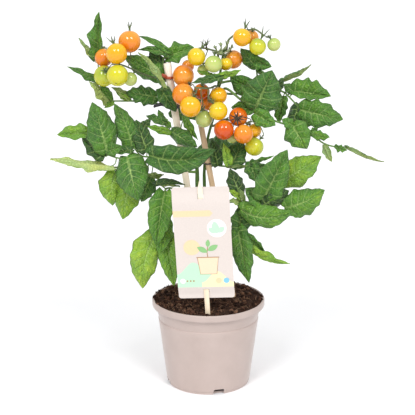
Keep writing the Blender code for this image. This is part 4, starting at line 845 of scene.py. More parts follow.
def truss(name, entry, seed):
    chance = random.Random(seed)
    pile = Pile()
    peduncle = stalk_from_stem(entry)
    tube(pile, peduncle, taper(*PEDUNCLE_RADII), 8, 0, 0.5)
    for settings in entry["parts"]:
        top = Vector(settings["top"]).normalized()
        seat = place(settings["spot"]) + top * (settings["size"] / 2 - SEAT_DEPTH)
        count = DRY_SEPALS if settings["dark"] else SEPALS + (chance.random() < 0.4)
        lift = math.radians(settings["lift"])
        rise = (math.cos(lift), math.sin(lift))
        slot = 2 if settings["dark"] else 1
        shape = (count, CALYX_START, CALYX_LOOSE, rise, settings["sepals"], CALYX_LENGTHS)
        calyx(pile, seat, top, *shape, slot, chance)
        knee = seat + top * PEDICEL_KNEE
        via = places(settings["via"])
        root = nearest_on(peduncle, via[-1] if via else knee)
        path = smooth_path([seat, seat + top * PEDICEL_RISE, knee, *via, root], 5)
        tube(pile, path, pedicel_radius, 7, 2 if settings["dark"] else 0, 0.6)
    for spot, heading, size, dark in BUDS.get(name, ()):
        bud(pile, place(spot), Vector(heading).normalized(), size, dark, peduncle, chance)
    pile.piece(name + "_dressed", ("truss_stalk", "calyx", "calyx_dry"), "calyx", name)


def pedicel_radius(share):
    """Wide at the fruit, with a knuckle half way."""
    return PEDICEL_RADIUS + 9 * max(0, 0.1 - share) + 0.35 * math.exp(-(((share - 0.45) / 0.05) ** 2))


def bud_radius(share):
    """The same for a bud's pedicel, which is thicker for its length."""
    return 0.95 - 0.3 * share + 0.4 * math.exp(-(((share - 0.4) / 0.08) ** 2))


def bud(pile, seat, heading, size, dark, peduncle, chance):
    """A calyx whose fruit has not set, on its own bent pedicel."""
    style = (2, chance, 1.1) if dark else (1, chance, 1.7, True)
    calyx(pile, seat, heading, BUD_SEPALS, 0, 0.2, (0.8, 0.6), size, (0.75, 1.2), *style)
    root = nearest_on(peduncle, seat)
    knee = seat - heading * BUD_KNEE
    path = smooth_path([seat + heading * 0.6, knee, knee.lerp(root, 0.5) - Vector((0, 0, 1.2)), root], 5)
    tube(pile, path, bud_radius, 7, 2 if dark else 0, 1.0)


def fruit_ball(name, settings, seed):
    """A slightly flattened ball with a dimple under its calyx and a tiny scar at its other end."""
    chance = random.Random(seed)
    around, down = FRUIT_STEPS
    points, faces, shades, veins = [], [], [], []
    radius = settings["size"] / 2
    lobes = chance.uniform(*FRUIT_LOBES)
    start = chance.uniform(0, 6.28)
    for ring in range(down + 1):
        polar = math.pi * ring / down
        high = math.cos(polar)
        dimple = DIMPLE_DEPTH * math.exp(-((polar / DIMPLE_WIDTH) ** 2))
        for step in range(around):
            angle = 2 * math.pi * step / around
            swell = 1 + lobes * math.cos(3 * angle + start) * math.sin(polar)
            across = radius * math.sin(polar) * swell
            points.append(spoke(angle, across, radius * (FRUIT_FLATNESS * high - dimple)))
            shades.append(max(0.0, min(1.0, 0.35 + 0.5 * high + 0.1 * math.cos(angle * 2 + start))))
            veins.append(1.0 if ring == down else 0.0)
    for first in range(0, down * around, around):
        for step in range(around):
            following = first + (step + 1) % around
            faces.append((first + step, first + around + step, around + following, following))
    turn = Vector(settings["top"]).to_track_quat("Z", "Y").to_matrix()
    centre = place(settings["spot"])
    pile = Pile()
    pile.add([centre + turn @ point for point in points], faces, 0, shades, veins)
    colour = "fruit_" + settings["colour"]
    pile.piece(name + "_dressed", (colour,), colour, name)


def stems():
    pile = Pile()
    for key, radii in STEM_RADII.items():
        radius = taper(*radii)
        tube(
            pile, STEM_PATHS[key], lambda s: radius(s) + STEM_RIPPLE * math.sin(STEM_RIPPLES * s),
            STEM_SIDES, 0, STEM_SHADE,
        )
    pile.piece("stem_dressed", ("stem",), "stem", "stem")


def cane(key):
    """A dowel whose length lies along its own Z, so that its grain runs along it."""
    entry = CANES[key]
    foot, top = place(entry["foot"]), place(entry["top"])
    low, high = entry["radii"]
    along = (top - foot).normalized()
    foot = foot - along * CANE_SINK
    length = (top - foot).length
    lean = random.Random(key).uniform(0, 6.28)
    rows = []
    for ring in range(CANE_RINGS):
        bend = CANE_BEND * math.sin(math.pi * ring / CANE_RINGS)
        radius = CANE_SHARE * (low + (high - low) * ring / CANE_RINGS)
        rows.append((length * ring / CANE_RINGS, radius, bend))
    rows += [(length - 0.6, high * CANE_SHARE, 0), (length - 0.1, high * 0.87, 0), (length, high * 0.4, 0)]
    points = []
    for height, radius, bend in rows:
        for side in range(CANE_SIDES):
            angle = 2 * math.pi * side / CANE_SIDES
            rough = 1 + CANE_ROUGH * noise.noise(spoke(angle, 3, height * 0.02))
            x = radius * rough * math.cos(angle) + bend * math.cos(lean)
            y = radius * rough * math.sin(angle) + bend * math.sin(lean)
            points.append(Vector((x, y, height)))
    pile = Pile()
    pile.add(points, tube_faces(len(rows), CANE_SIDES), 0, 0.5)
    mesh = pile.mesh("cane_" + key, entry["wood"])
    mesh.shade_smooth()
    made = put(f"cane_{key}_dressed", mesh)
    made.matrix_world = Matrix.Translation(foot * MM) @ along.to_track_quat("Z", "Y").to_matrix().to_4x4()
    dress(made, entry["wood"], "cane_" + key)


def tie(name, entry):
    """A soft wire wound round a cane and a stem, with its ends twisted together."""
    held = CANES[entry["cane"]]
    foot, top = place(held["foot"]), place(held["top"])
    height, wire = entry["height"], entry["radius"]
    share = (height - foot.z) / (top.z - foot.z)
    middle = foot.lerp(top, share)
    stem_centre, _, stem_radius = stem_at(entry["stem"], height)
    away = stem_centre - middle
    heading = math.atan2(away.y, away.x)
    reach = wire * 0.9
    cane_radius = taper(*held["radii"])(share)
    loop = []
    for centre, radius, start in ((stem_centre, stem_radius, -90), (middle, cane_radius, 90)):
        for step in range(9):
            loop.append(centre + spoke(heading + math.radians(start + 180 * step / 8)) * (radius + reach))
    end = places(entry["end"])
    first = min(range(len(loop)), key=lambda index: (loop[index] - end[0]).length)
    loop = loop[first:] + loop[:first]
    rise = Vector((0, 0, reach))
    turns = [point - rise + rise * 2 * index / (2 * len(loop)) for index, point in enumerate(loop + loop)]
    path = smooth_path([end[-1], *reversed(end[:-1]), *turns, loop[0] + rise], 3)
    pile = Pile()
    tube(pile, path, lambda s: wire * (0.85 + 0.1 * math.sin(60 * s)), 8, 0, 0.5)
    curl = [point + Vector((0.3, 0.3, 1.1)) * wire for point in reversed(end)]
    tube(pile, smooth_path([*curl, loop[0]], 4), taper(wire * 0.9, wire * 1.5), 8, 0, 0.5)
    key = "orange" if name == "orange" else "black"
    pile.piece(f"tie_{name}_dressed", ("tie_" + key,), key + "_plastic", "tie_" + name)


def turned(profile, sides):
    """The points and faces of a closed (radius, height) profile, turned; its ends lie on the axis."""
    points, faces, rings = [], [], []
    for radius, height in profile:
        count = sides if radius else 1
        rings.append([len(points) + side % count for side in range(sides)])
        points += [spoke(2 * math.pi * side / sides, radius, height) for side in range(count)]
    for lower, upper in zip(rings, rings[1:]):
        for side in range(sides):
            after = (side + 1) % sides
            faces.append(tuple(dict.fromkeys((lower[side], lower[after], upper[after], upper[side]))))
    return points, faces


def arc(centre, radius, start, end, steps):
    """Points round a bend in a plane, by angles in degrees."""
    spots = []
    for step in range(steps + 1):
        angle = math.radians(start + (end - start) * step / steps)
        spots.append((centre[0] + radius * math.cos(angle), centre[1] + radius * math.sin(angle)))
    return spots


def pot():
    under_rim = POT_HEIGHT - RIM_HEIGHT
    inner, outer = CHANNEL_RADII
    foot = FOOT_RADIUS - FOOT_INSET
    wall_z = FOOT_Z + 0.6
    ledge = LEDGE_OUTER_RADIUS - LEDGE_STEP
    profile = [(0, 0), (inner, 0), (inner + 1, CHANNEL_DEPTH), (outer - 1, CHANNEL_DEPTH), (outer, 0)]
    profile += [(foot - 0.5, 0), (foot, 0.5), (foot, FOOT_Z - 0.3), (foot + 0.3, FOOT_Z)]
    profile.append((FOOT_RADIUS, wall_z))
    for step in range(1, WALL_STEPS):
        share = step / WALL_STEPS
        radius = FOOT_RADIUS + (LEDGE_OUTER_RADIUS - FOOT_RADIUS) * share
        profile.append((radius, wall_z + (LEDGE_Z - FOOT_Z - 0.6) * share))
    profile += [
        (LEDGE_OUTER_RADIUS, LEDGE_Z - 0.3),
        (LEDGE_OUTER_RADIUS - 0.15, LEDGE_Z + 0.1),
        (ledge, LEDGE_Z + 0.6),
        (ledge + 0.1, LEDGE_Z + 1.2),
        (WALL_TOP_RADIUS, under_rim - 1.8),
        (WALL_TOP_RADIUS + 0.5, under_rim - 0.7),
        (POT_TOP_RADIUS - 2.2, under_rim),
        *arc((POT_TOP_RADIUS - RIM_ROUND, under_rim + RIM_ROUND), RIM_ROUND, -90, 0, 6),
        *arc((POT_TOP_RADIUS - RIM_ROUND, POT_HEIGHT - RIM_ROUND), RIM_ROUND, 0, 90, 6),
        (POT_TOP_RADIUS - 2.2, POT_HEIGHT - 0.2),
        (POT_TOP_RADIUS - 2.5, POT_HEIGHT - 1.0),
        (WALL_TOP_RADIUS - WALL, under_rim),
        (ledge - WALL, LEDGE_Z),
        (FOOT_RADIUS - WALL - 1, FLOOR + 1.5),
        (FOOT_RADIUS - WALL - 3, FLOOR),
        (0, FLOOR),
    ]
    pile = Pile()
    pile.add(*turned(profile, POT_SIDES), 0, 0.5)
    made = put("pot_dressed", pile.mesh("pot_dressed"))
    shape = bmesh.new()
    for index in range(NOTCHES):
        angle = math.radians(NOTCH_FIRST_ANGLE + index * 360 / NOTCHES)
        size = Vector((NOTCH_REACH, NOTCH_WIDTH, NOTCH_HEIGHT * 2)) * MM
        turn = Matrix.Translation(spoke(angle) * FOOT_RADIUS * MM) @ Matrix.Rotation(angle, 4, "Z")
        bmesh.ops.create_cube(shape, size=1, matrix=turn @ Matrix.Diagonal((*size, 1)))
    bmesh.ops.bevel(shape, geom=shape.edges[:], offset=NOTCH_ROUND * MM, segments=3, affect="EDGES")
    cutter = put("notches", new_mesh("notches", shape))
    cut = made.modifiers.new("cut", "BOOLEAN")
    cut.operation = "DIFFERENCE"
    cut.object = cutter
    graph = bpy.context.evaluated_depsgraph_get()
    made.data = bpy.data.meshes.new_from_object(made.evaluated_get(graph))
    made.modifiers.clear()
    bpy.data.objects.remove(cutter)
    made.data.materials.clear()
    made.data.materials.append(MATERIALS["pot"])
    made.data.shade_smooth()
    made.data.set_sharp_from_angle(angle=math.radians(POT_SHARP_ANGLE))
    dress(made, "pot", "pot")


def crumb(pile, centre, size, shade, chance):
    """A small uneven lump."""
    shape = bmesh.new()
    bmesh.ops.create_icosphere(shape, subdivisions=1, radius=size)
    stretch = [chance.uniform(*CRUMB_STRETCHES) for _ in range(3)]
    angle = chance.uniform(0, 6.28)
    turn = Matrix.Rotation(angle, 3, Vector((chance.random(), chance.random(), 1)).normalized())
    points = []
    for vertex in shape.verts:
        bump = 1 + CRUMB_BUMP * noise.noise(vertex.co * (1.6 / size) + centre)
        points.append(centre + turn @ Vector([vertex.co[axis] * stretch[axis] * bump for axis in range(3)]))
    faces = [tuple(vertex.index for vertex in face.verts) for face in shape.faces]
    shape.free()
    pile.add(points, faces, 0, shade)


def on_peat(spot, lift=0.0):
    """The point over a spot on the ground, at a lift above the lumpy peat."""
    height = 0
    for rise, scale, shift in SOIL_LUMPS:
        height += rise * noise.noise(spot * scale + Vector(shift))
    return Vector((spot.x, spot.y, SOIL_Z + 0.5 + height + lift))


def strewn(chance, share):
    """A spot on the ground, at random within a share of the peat's radius."""
    radius = SOIL_EDGE_RADIUS * math.sqrt(chance.random()) * share
    return spoke(chance.uniform(0, 2 * math.pi), radius)


def soil():
    chance = random.Random(SOIL_SEED)
    around, out = SOIL_STEPS
    points = [on_peat(Vector((0, 0, 0)))]
    for ring in range(1, out + 1):
        for step in range(around):
            heading = spoke(2 * math.pi * (step + 0.5 * (ring % 2)) / around)
            radius = (SOIL_EDGE_RADIUS + 1.1 * noise.noise(heading * 9)) * (ring / out) ** 0.9
            points.append(on_peat(Vector((radius * heading.x, radius * heading.y, 0))))
    rim = len(points)
    faces = []
    for step in range(around):
        angle = 2 * math.pi * (step + 0.5 * (out % 2)) / around
        points.append(spoke(angle, SOIL_EDGE_RADIUS - SOIL_TUCK, SOIL_Z - SOIL_DEPTH))
        after = (step + 1) % around
        faces.append((0, 1 + step, 1 + after))
        for first in range(1, 1 + out * around, around):
            faces.append((first + step, first + around + step, first + around + after, first + after))
    faces.append(tuple(reversed(range(rim, rim + around))))
    pile = Pile()
    pile.add(points, faces, 0, [0.25 + 0.25 * noise.noise(point * 0.2) for point in points])
    for _ in range(CLODS):
        spot = strewn(chance, 1.01)
        size = chance.choice(CLOD_SIZES) * chance.uniform(0.8, 1.2)
        centre = on_peat(spot, size * chance.uniform(0.0, 0.6))
        crumb(pile, centre, size, chance.choice(CLOD_SHADES), chance)
    for _ in range(SPILLED):
        angle = math.radians(chance.choice(SPILL_HEADINGS) + chance.gauss(0, SPILL_SPREAD))
        size = chance.uniform(*SPILL_SIZES)
        radius = chance.uniform(SOIL_EDGE_RADIUS - 1, POT_TOP_RADIUS - 1.4)
        centre = spoke(angle, radius, POT_HEIGHT + size * chance.uniform(-0.2, 0.55))
        crumb(pile, centre, size, chance.choice(SPILL_SHADES), chance)
    for _ in range(FIBRES):
        start = strewn(chance, 0.96)
        heading = chance.uniform(0, 2 * math.pi)
        length = chance.uniform(*FIBRE_LENGTHS)
        bend = chance.uniform(*FIBRE_BENDS)
        path = []
        for step in range(5):
            share = step / 4
            spot = start + spoke(heading + bend * share) * length * share
            if spot.length > SOIL_EDGE_RADIUS:
                break
            path.append(on_peat(spot, 0.5 + 1.6 * math.sin(math.pi * share) * chance.uniform(0.2, 1)))
        if len(path) > 2:
            tube(pile, path, taper(chance.uniform(0.2, 0.4), 0.12), 5, 0, chance.uniform(0.6, 1.0))
    pile.piece("soil_dressed", ("peat",), "peat", "soil")


def label_frame():
    """The stick's foot on the soil, the frame of the card (across, forwards, up) and the stick's length."""
    foot, top = place(STICK_FOOT), place(STICK_TOP)
    up = (top - foot).normalized()
    yaw = math.radians(LABEL_YAW)
    across = square_to(up, Vector((math.cos(yaw), -math.sin(yaw), 0)))
    return foot, across, across.cross(up), up, (top - foot).length


def card_offset(height):
    """How far in front of the stick's middle the card runs at a height above its lower edge."""
    reach = (STICK_THICKNESS + CARD_THICKNESS) / 2 + CARD_GAP
    low, high = CARD_SLOT_HEIGHTS
    if low <= height <= high:
        return reach
    away = (low - height) / CARD_STEP_HEIGHT if height < low else (height - high) / CARD_STEP_HEIGHT
    return reach * (1 - 2 * min(1.0, away))


def on_card(x, height, lift=0.0):
    """A world point on the card's front, from its middle line and lower edge."""
    foot, across, forwards, up, _ = label_frame()
    depth = card_offset(height) + CARD_THICKNESS / 2 + lift
    return foot + across * x + up * (CARD_LIFT + height) + forwards * depth


def card_half_width(height):
    """Half the card's width at a height, with round corners."""
    edge = min(height, CARD_HEIGHT - height)
    if edge >= CARD_CORNER:
        return CARD_WIDTH / 2
    return CARD_WIDTH / 2 - CARD_CORNER + math.sqrt(max(0.0, CARD_CORNER**2 - (CARD_CORNER - edge) ** 2))


def label_card():
    forwards = label_frame()[2]
    low, high = CARD_SLOT_HEIGHTS
    heights = [CARD_CORNER * (1 - math.cos(math.radians(15 * step))) for step in range(7)]
    heights += [CARD_HEIGHT - height for height in heights]
    heights += [low - CARD_STEP_HEIGHT, low, high, high + CARD_STEP_HEIGHT, *range(20, 120, 10)]
    heights.sort()
    slot = STICK_WIDTH / 2 + CARD_SLOT_SPARE
    shares = (-1, -0.75, -0.5, -0.25, None, None, 0.25, 0.5, 0.75, 1)
    points = []
    for depth in (0, -CARD_THICKNESS):
        for height in heights:
            half = card_half_width(height)
            for column, share in enumerate(shares):
                x = half * share if share is not None else (-slot if column == 4 else slot)
                points.append(on_card(x, height) + forwards * depth)
    width, rows = len(shares), len(heights)
    count = width * rows
    slits = [heights.index(height) * width + 4 for height in (low - CARD_STEP_HEIGHT, high)]
    front = [face for face in sheet_faces(rows, width) if face[0] not in slits]
    edges = [edge for face in front for edge in zip(face, face[1:] + face[:1])]
    open_edges = set(edges)
    faces = front + [tuple(count + index for index in reversed(face)) for face in front]
    for start, end in edges:
        if (end, start) not in open_edges:
            faces.append((end, start, start + count, end + count))
    pile = Pile()
    pile.add(points, faces, 0, 0.5)
    made = pile.piece("label_card_dressed", ("card",), "card", "label_card")
    made.data.set_sharp_from_angle(angle=math.radians(CARD_SHARP_ANGLE))


def disc(x, height, radius, steps=40):
    return arc((x, height), radius, 0, 360, steps)[:-1]


def sprig_leaf(x, height, length, heading, fat):
    """The outline of a simple pointed leaf."""
    cosine, sine = math.cos(math.radians(heading)), math.sin(math.radians(heading))
    spots = []
    for way in (1, -1):
        for step in range(12):
            share = step / 12 if way == 1 else 1 - step / 12
            out = way * fat * length * math.sin(math.pi * share) ** 0.8
            forward = length * share
            spots.append((x + forward * cosine - out * sine, height + forward * sine + out * cosine))
    return spots


def ribbon(spots, half):
    """The outline of a line of even width through some spots."""
    left, right = [], []
    for index, (x, height) in enumerate(spots):
        before, after = spots[max(index - 1, 0)], spots[min(index + 1, len(spots) - 1)]
        run = Vector((after[0] - before[0], after[1] - before[1])).normalized()
        left.append((x - run.y * half, height + run.x * half))
        right.append((x + run.y * half, height - run.x * half))
    return left + right[::-1]


def wave(low, high, height, left, right):
    """The outline of a hill that fills the card from a height up to a wavy line."""
    spots = [(left, height), (right, height)]
    for step in range(31):
        share = step / 30
        x = right + (left - right) * share
        spots.append((x, low + (high - low) * (0.5 - 0.5 * math.cos(math.pi * 2 * share))))
    return spots


# The print: inks and outlines on the card, from the lowest up, and how far each lies in front of the last
PRINT_EDGE = CARD_WIDTH / 2 - 0.05
PRINT_LIFT = 0.05
PRINT_STEP = 0.012
PRINTS = [
    ("mint", wave(30, 44, 14.5, -PRINT_EDGE, 6)),
    ("straw", wave(20, 33, 14.5, -4, PRINT_EDGE)),
    ("apricot", [(-PRINT_EDGE, 98), (9, 98), (12, 101.5), (9, 105), (-PRINT_EDGE, 105)]),
    ("white", disc(15.5, 84, 10.5)),
    ("mint", sprig_leaf(15.5, 77.5, 15, 100, 0.27)),
    ("mint", sprig_leaf(15.0, 79.0, 10, 150, 0.3)),
    ("mint", sprig_leaf(16.0, 79.0, 10, 38, 0.3)),
    ("apricot", disc(-13, 62, 9.0)),
    ("biscuit", [(-5, 30), (13, 30), (15.5, 50), (-7.5, 50)]),
    ("umber", ribbon([(-7.5, 50), (-5, 30), (13, 30), (15.5, 50), (-7.5, 50)], 0.35)),
    ("umber", ribbon([(-8.5, 50), (16.5, 50)], 0.5)),
    ("umber", ribbon([(4, 50), (3.5, 56), (4.5, 63)], 0.45)),
    ("leaf_print", sprig_leaf(4, 56, 13, 150, 0.24)),
    ("leaf_print", sprig_leaf(4.2, 58, 13, 28, 0.24)),
    ("leaf_print", sprig_leaf(4.5, 62, 9, 85, 0.26)),
    ("sky", disc(23, 22, 3.2)),
    ("apricot", disc(23 - 8.4, 22, 3.2)),
    ("white", disc(-25, 22, 3.0)),
    *(("umber", disc(x, 22, 1.0, 16)) for x in (-20, -16.5, -13)),
]


def label_prints():
    """The printed shapes, each a hair in front of the one below it."""
    pile = Pile()
    inks = sorted({ink for ink, _ in PRINTS})
    for number, (ink, outline) in enumerate(PRINTS):
        front = [on_card(x, height, PRINT_LIFT + PRINT_STEP * number) for x, height in outline]
        pile.add(front, [tuple(range(len(front)))], inks.index(ink), 0.5)
    mesh = pile.mesh("label_print", *("ink_" + ink for ink in inks))
    shape = bmesh.new()
    shape.from_mesh(mesh)
    bmesh.ops.triangulate(shape, faces=shape.faces)
    shape.to_mesh(mesh)
    shape.free()
    dress(put("label_print", mesh), "card")


def label_stick():
    foot, across, forwards, up, length = label_frame()
    half, depth = STICK_WIDTH / 2, STICK_THICKNESS / 2
    shape = bmesh.new()
    outline = [(-half, -STICK_SINK), (half, -STICK_SINK), (half, length - STICK_POINT), (half * 0.2, length)]
    outline += [(-half * 0.2, length), (-half, length - STICK_POINT)]
    face = shape.faces.new([shape.verts.new(Vector((x, -depth, height)) * MM) for x, height in outline])
    made = bmesh.ops.extrude_face_region(shape, geom=[face])
    raised = [item for item in made["geom"] if isinstance(item, bmesh.types.BMVert)]
    bmesh.ops.translate(shape, verts=raised, vec=Vector((0, 2 * depth, 0)) * MM)
    bmesh.ops.recalc_face_normals(shape, faces=shape.faces)
    bmesh.ops.bevel(shape, geom=shape.edges[:], offset=STICK_ROUND * MM, segments=2, affect="EDGES")
    mesh = new_mesh("label_stick", shape)
    mesh.materials.append(MATERIALS["pale_wood"])
    mesh.shade_smooth()
    mesh.set_sharp_from_angle(angle=math.radians(STICK_SHARP_ANGLE))
    stick = put("label_stick_dressed", mesh)
    stick.matrix_world = Matrix.Translation(foot * MM) @ Matrix((across, -forwards, up)).transposed().to_4x4()
    dress(stick, "pale_wood", "label_stick")


# Colours: fruits from the flower end up, inks, and tones by the shade of a point
WHITE = (1, 1, 1)
BLACK = (0, 0, 0)
FRUIT_TONES = {
    "red": ((0.57, 0.064, 0.0), (0.63, 0.112, 0.0), (0.68, 0.19, 0.004)),
    "orange": ((0.74, 0.20, 0.008), (0.78, 0.265, 0.018), (0.80, 0.36, 0.05)),
    "amber": ((0.78, 0.36, 0.002), (0.80, 0.42, 0.004), (0.80, 0.50, 0.03)),
    "yellow": ((0.72, 0.44, 0.002), (0.74, 0.50, 0.006), (0.64, 0.52, 0.05)),
    "lime": ((0.58, 0.54, 0.015), (0.52, 0.53, 0.03), (0.27, 0.38, 0.04)),
    "green": ((0.50, 0.56, 0.17), (0.44, 0.53, 0.14), (0.26, 0.38, 0.07)),
}
INKS = {
    "mint": (0.50, 0.80, 0.55),
    "straw": (0.90, 0.80, 0.48),
    "apricot": (0.90, 0.62, 0.38),
    "white": (0.93, 0.93, 0.90),
    "biscuit": (0.84, 0.66, 0.47),
    "umber": (0.42, 0.24, 0.13),
    "leaf_print": (0.25, 0.50, 0.20),
    "sky": (0.22, 0.55, 0.78),
}
PEAT_TONES = (
    (0.05, (0.011, 0.005, 0.003)), (0.3, (0.037, 0.017, 0.010)), (0.6, (0.12, 0.054, 0.033)),
    (0.8, (0.27, 0.15, 0.09)), (1.0, (0.48, 0.32, 0.20)),
)
LEAF_TONES = (
    (0.0, (0.009, 0.036, 0.008)), (0.3, (0.025, 0.104, 0.012)), (0.55, (0.072, 0.212, 0.015)),
    (0.8, (0.195, 0.355, 0.022)), (1.0, (0.34, 0.49, 0.040)),
)
UNDER_TONES = ((0.0, (0.21, 0.31, 0.09)), (0.5, (0.35, 0.46, 0.15)), (1.0, (0.50, 0.60, 0.20)))
GREENS = {
    "stem": ((0.0, (0.05, 0.12, 0.02)), (1.0, (0.16, 0.28, 0.06))),
    "stalk": ((0.0, (0.06, 0.14, 0.03)), (0.5, (0.11, 0.21, 0.05)), (1.0, (0.24, 0.34, 0.09))),
    "calyx_dry": ((0.0, (0.012, 0.008, 0.004)), (1.0, (0.06, 0.045, 0.02))),
    "calyx": ((0.0, (0.03, 0.06, 0.02)), (0.7, (0.15, 0.22, 0.07)), (1.0, (0.34, 0.40, 0.20))),
    "truss_stalk": ((0.0, (0.06, 0.09, 0.04)), (0.6, (0.13, 0.17, 0.07)), (1.0, (0.30, 0.36, 0.18))),
}


class Nodes:
    """A material with short calls for its nodes."""

    def __init__(self, name, roughness, **values):
        self.material = bpy.data.materials.new(name)
        self.material.use_nodes = True
        self.tree = self.material.node_tree
        self.shader = self.tree.nodes["Principled BSDF"]
        self.feed(self.shader, Roughness=roughness, **values)
        self.place = self.node("TexCoord", "Object")

    def feed(self, node, *first, **named):
        """Gives sockets a value, or links an output to them: the first ones, and others by name."""
        for key, item in [*enumerate(first), *named.items()]:
            socket = node.inputs[key if isinstance(key, int) else key.replace("_", " ")]
            if isinstance(item, bpy.types.NodeSocket):
                self.tree.links.new(item, socket)
            else:
                socket.default_value = item

    def node(self, kind, output, *first, settings=(), **named):
        """The named output of a new node."""
        node = self.tree.nodes.new("ShaderNode" + kind)
        for key, value in dict(settings).items():
            setattr(node, key, value)
        self.feed(node, *first, **named)
        return node.outputs[output]

    def noise(self, scale, detail=3, stretch=None, roughness=0.55):
        place = self.node("Mapping", "Vector", Scale=stretch, Vector=self.place) if stretch else self.place
        return self.node("TexNoise", "Fac", Scale=scale, Detail=detail, Roughness=roughness, Vector=place)

    def cells(self, scale, feature="DISTANCE_TO_EDGE"):
        settings = {"feature": feature}
        return self.node("TexVoronoi", "Distance", settings=settings, Scale=scale, Vector=self.place)

    def value(self, name):
        return self.node("Attribute", "Fac", settings={"attribute_name": name})

    def ramp(self, source, stops):
        node = self.tree.nodes.new("ShaderNodeValToRGB")
        elements = node.color_ramp.elements
        while len(elements) < len(stops):
            elements.new(0.5)
        for element, (position, colour) in zip(elements, stops):
            element.position = position
            element.color = (*colour, 1)
        self.feed(node, source)
        return node.outputs["Color"]

    def math(self, operation, first, second, clamp=False):
        settings = {"operation": operation, "use_clamp": clamp}
        return self.node("Math", "Value", first, second, settings=settings)

    def times(self, first, second, clamp=False):
        return self.math("MULTIPLY", first, second, clamp)

    def mix(self, factor, first, second, blend="MIX"):
        node = self.tree.nodes.new("ShaderNodeMix")
        node.data_type, node.blend_type = "RGBA", blend
        self.feed(node, factor)
        for socket, item in zip(node.inputs[6:8], (first, second)):
            if isinstance(item, tuple):
                socket.default_value = (*item, 1)
            else:
                self.tree.links.new(item, socket)
        return node.outputs[2]

    def tint(self, base, shift):
        return self.mix(1.0, base, shift, "MULTIPLY")

    def range(self, source, low, high):
        return self.node("MapRange", "Result", source, To_Min=low, To_Max=high)

    def skin(self, colour, height, strength, distance, rough=None):
        """Links the colour, the bump and, from a source and its range, the roughness; gives the material."""
        bump = self.node("Bump", "Normal", Height=height, Strength=strength, Distance=distance)
        self.feed(self.shader, Base_Color=colour, Normal=bump)
        if rough:
            self.feed(self.shader, Roughness=self.range(*rough))
        return self.material


def leaf_material(name, stops, vein_colour, vein_share, mottle, cool, warm):
    """Green tissue: paler along its veins, quilted and finely netted between them, with painted shade and
    light on the quilting.
    """
    made = Nodes(name, 0.42, Specular_IOR_Level=0.36, Sheen_Weight=0.12, Sheen_Tint=(0.75, 1.0, 0.55, 1))
    blister_height_and_shade = made.cells(300)
    base = made.ramp(made.value("shade"), stops)
    base = made.tint(base, made.ramp(made.noise(38, 2), [(0.36, cool), (0.5, WHITE), (0.64, warm)]))
    base = made.tint(base, made.range(made.noise(150, 3), 1 - 2 * mottle, 1 + 2 * mottle))
    # Painted shade and light: darker where the blisters meet in the hollows of the bump, paler on their tops
    base = made.tint(base, made.range(made.times(blister_height_and_shade, 2.2), 0.86, 1.18))
    net = made.ramp(made.cells(520), [(0.0, WHITE), (0.1, BLACK)])
    base = made.mix(made.times(net, 0.14), base, vein_colour)
    line = made.times(made.math("POWER", made.value("vein"), 1.2), vein_share)
    base = made.mix(made.times(line, made.range(made.noise(300, 2), 0.5, 1.3), True), base, vein_colour)
    height = made.math("ADD", made.times(blister_height_and_shade, 1.6), made.times(made.noise(1300, 3), 0.3))
    return made.skin(base, height, 1.0, 0.0012, (made.noise(400, 2), 0.3, 0.5))


def green_stem(name, stops):
    """Stalk skin with fine hairs and faint lengthwise tone."""
    made = Nodes(name, 0.5, Specular_IOR_Level=0.3, Sheen_Weight=0.35, Sheen_Roughness=0.4)
    base = made.tint(made.ramp(made.value("shade"), stops), made.range(made.noise(260, 3), 0.5, 1.5))
    return made.skin(base, made.noise(2600, 2), 0.35, 0.0004)


def fruit_material(name, tones):
    """Glossy skin, redder at the flower end and paler or greener round the stalk, with faint fine dots."""
    made = Nodes(
        name, 0.16, Specular_IOR_Level=0.0, Coat_Weight=1.0, Coat_Roughness=0.08, Coat_IOR=1.56,
        Subsurface_Weight=0.12, Subsurface_Radius=(1.0, 0.45, 0.15), Subsurface_Scale=0.003,
    )
    wander = made.math("ADD", made.value("shade"), made.range(made.noise(90, 2), -0.16, 0.16), True)
    base = made.ramp(wander, list(zip((0.05, 0.5, 0.95), tones)))
    dots = made.ramp(made.cells(900, "F1"), [(0.0, WHITE), (0.22, BLACK)])
    base = made.mix(made.times(dots, 0.1), base, (1.0, 0.85, 0.5))
    base = made.mix(made.value("vein"), base, (0.10, 0.05, 0.02))
    return made.skin(base, made.noise(700, 2), 0.04, 0.0004, (made.noise(300, 2), 0.12, 0.22))


def wood_material(name, light, dark, grain, top_paling):
    """Plain wood with its grain along Z, paler towards the top by a share."""
    made = Nodes(name, 0.62)
    fine = made.noise(900, 5, (1, 1, 0.02), 0.7)
    both = made.math("ADD", made.times(fine, 0.6), made.times(made.noise(260, 3, (1, 1, 0.03)), 0.4))
    base = made.ramp(both, [(0.32, dark), (0.62, light)])
    height = made.times(made.node("SeparateXYZ", "Z", made.place), 4.0, True)
    base = made.mix(made.times(height, top_paling), base, (0.93, 0.86, 0.76))
    return made.skin(base, both, grain, 0.0006, (fine, 0.5, 0.75))


def pot_material():
    """Moulded recycled plastic: taupe, faintly mottled, with soft scuffs."""
    made = Nodes("pot", 0.45, Sheen_Weight=0.5, Sheen_Roughness=0.3)
    base = made.ramp(made.noise(45, 5), [(0.3, (0.433, 0.346, 0.314)), (0.7, (0.472, 0.38, 0.347))])
    flow = made.ramp(made.noise(60, 3, (1, 1, 0.12)), [(0.35, BLACK), (0.75, WHITE)])
    base = made.mix(made.times(flow, 0.1), base, (0.56, 0.48, 0.44))
    specks = made.ramp(made.noise(1400, 2), [(0.68, BLACK), (0.74, WHITE)])
    base = made.mix(made.times(specks, 0.25), base, (0.42, 0.33, 0.27))
    height = made.math("ADD", made.noise(900, 3), made.times(made.noise(30, 2), 2.0))
    return made.skin(base, height, 0.18, 0.0005, (made.noise(120, 4), 0.36, 0.55))


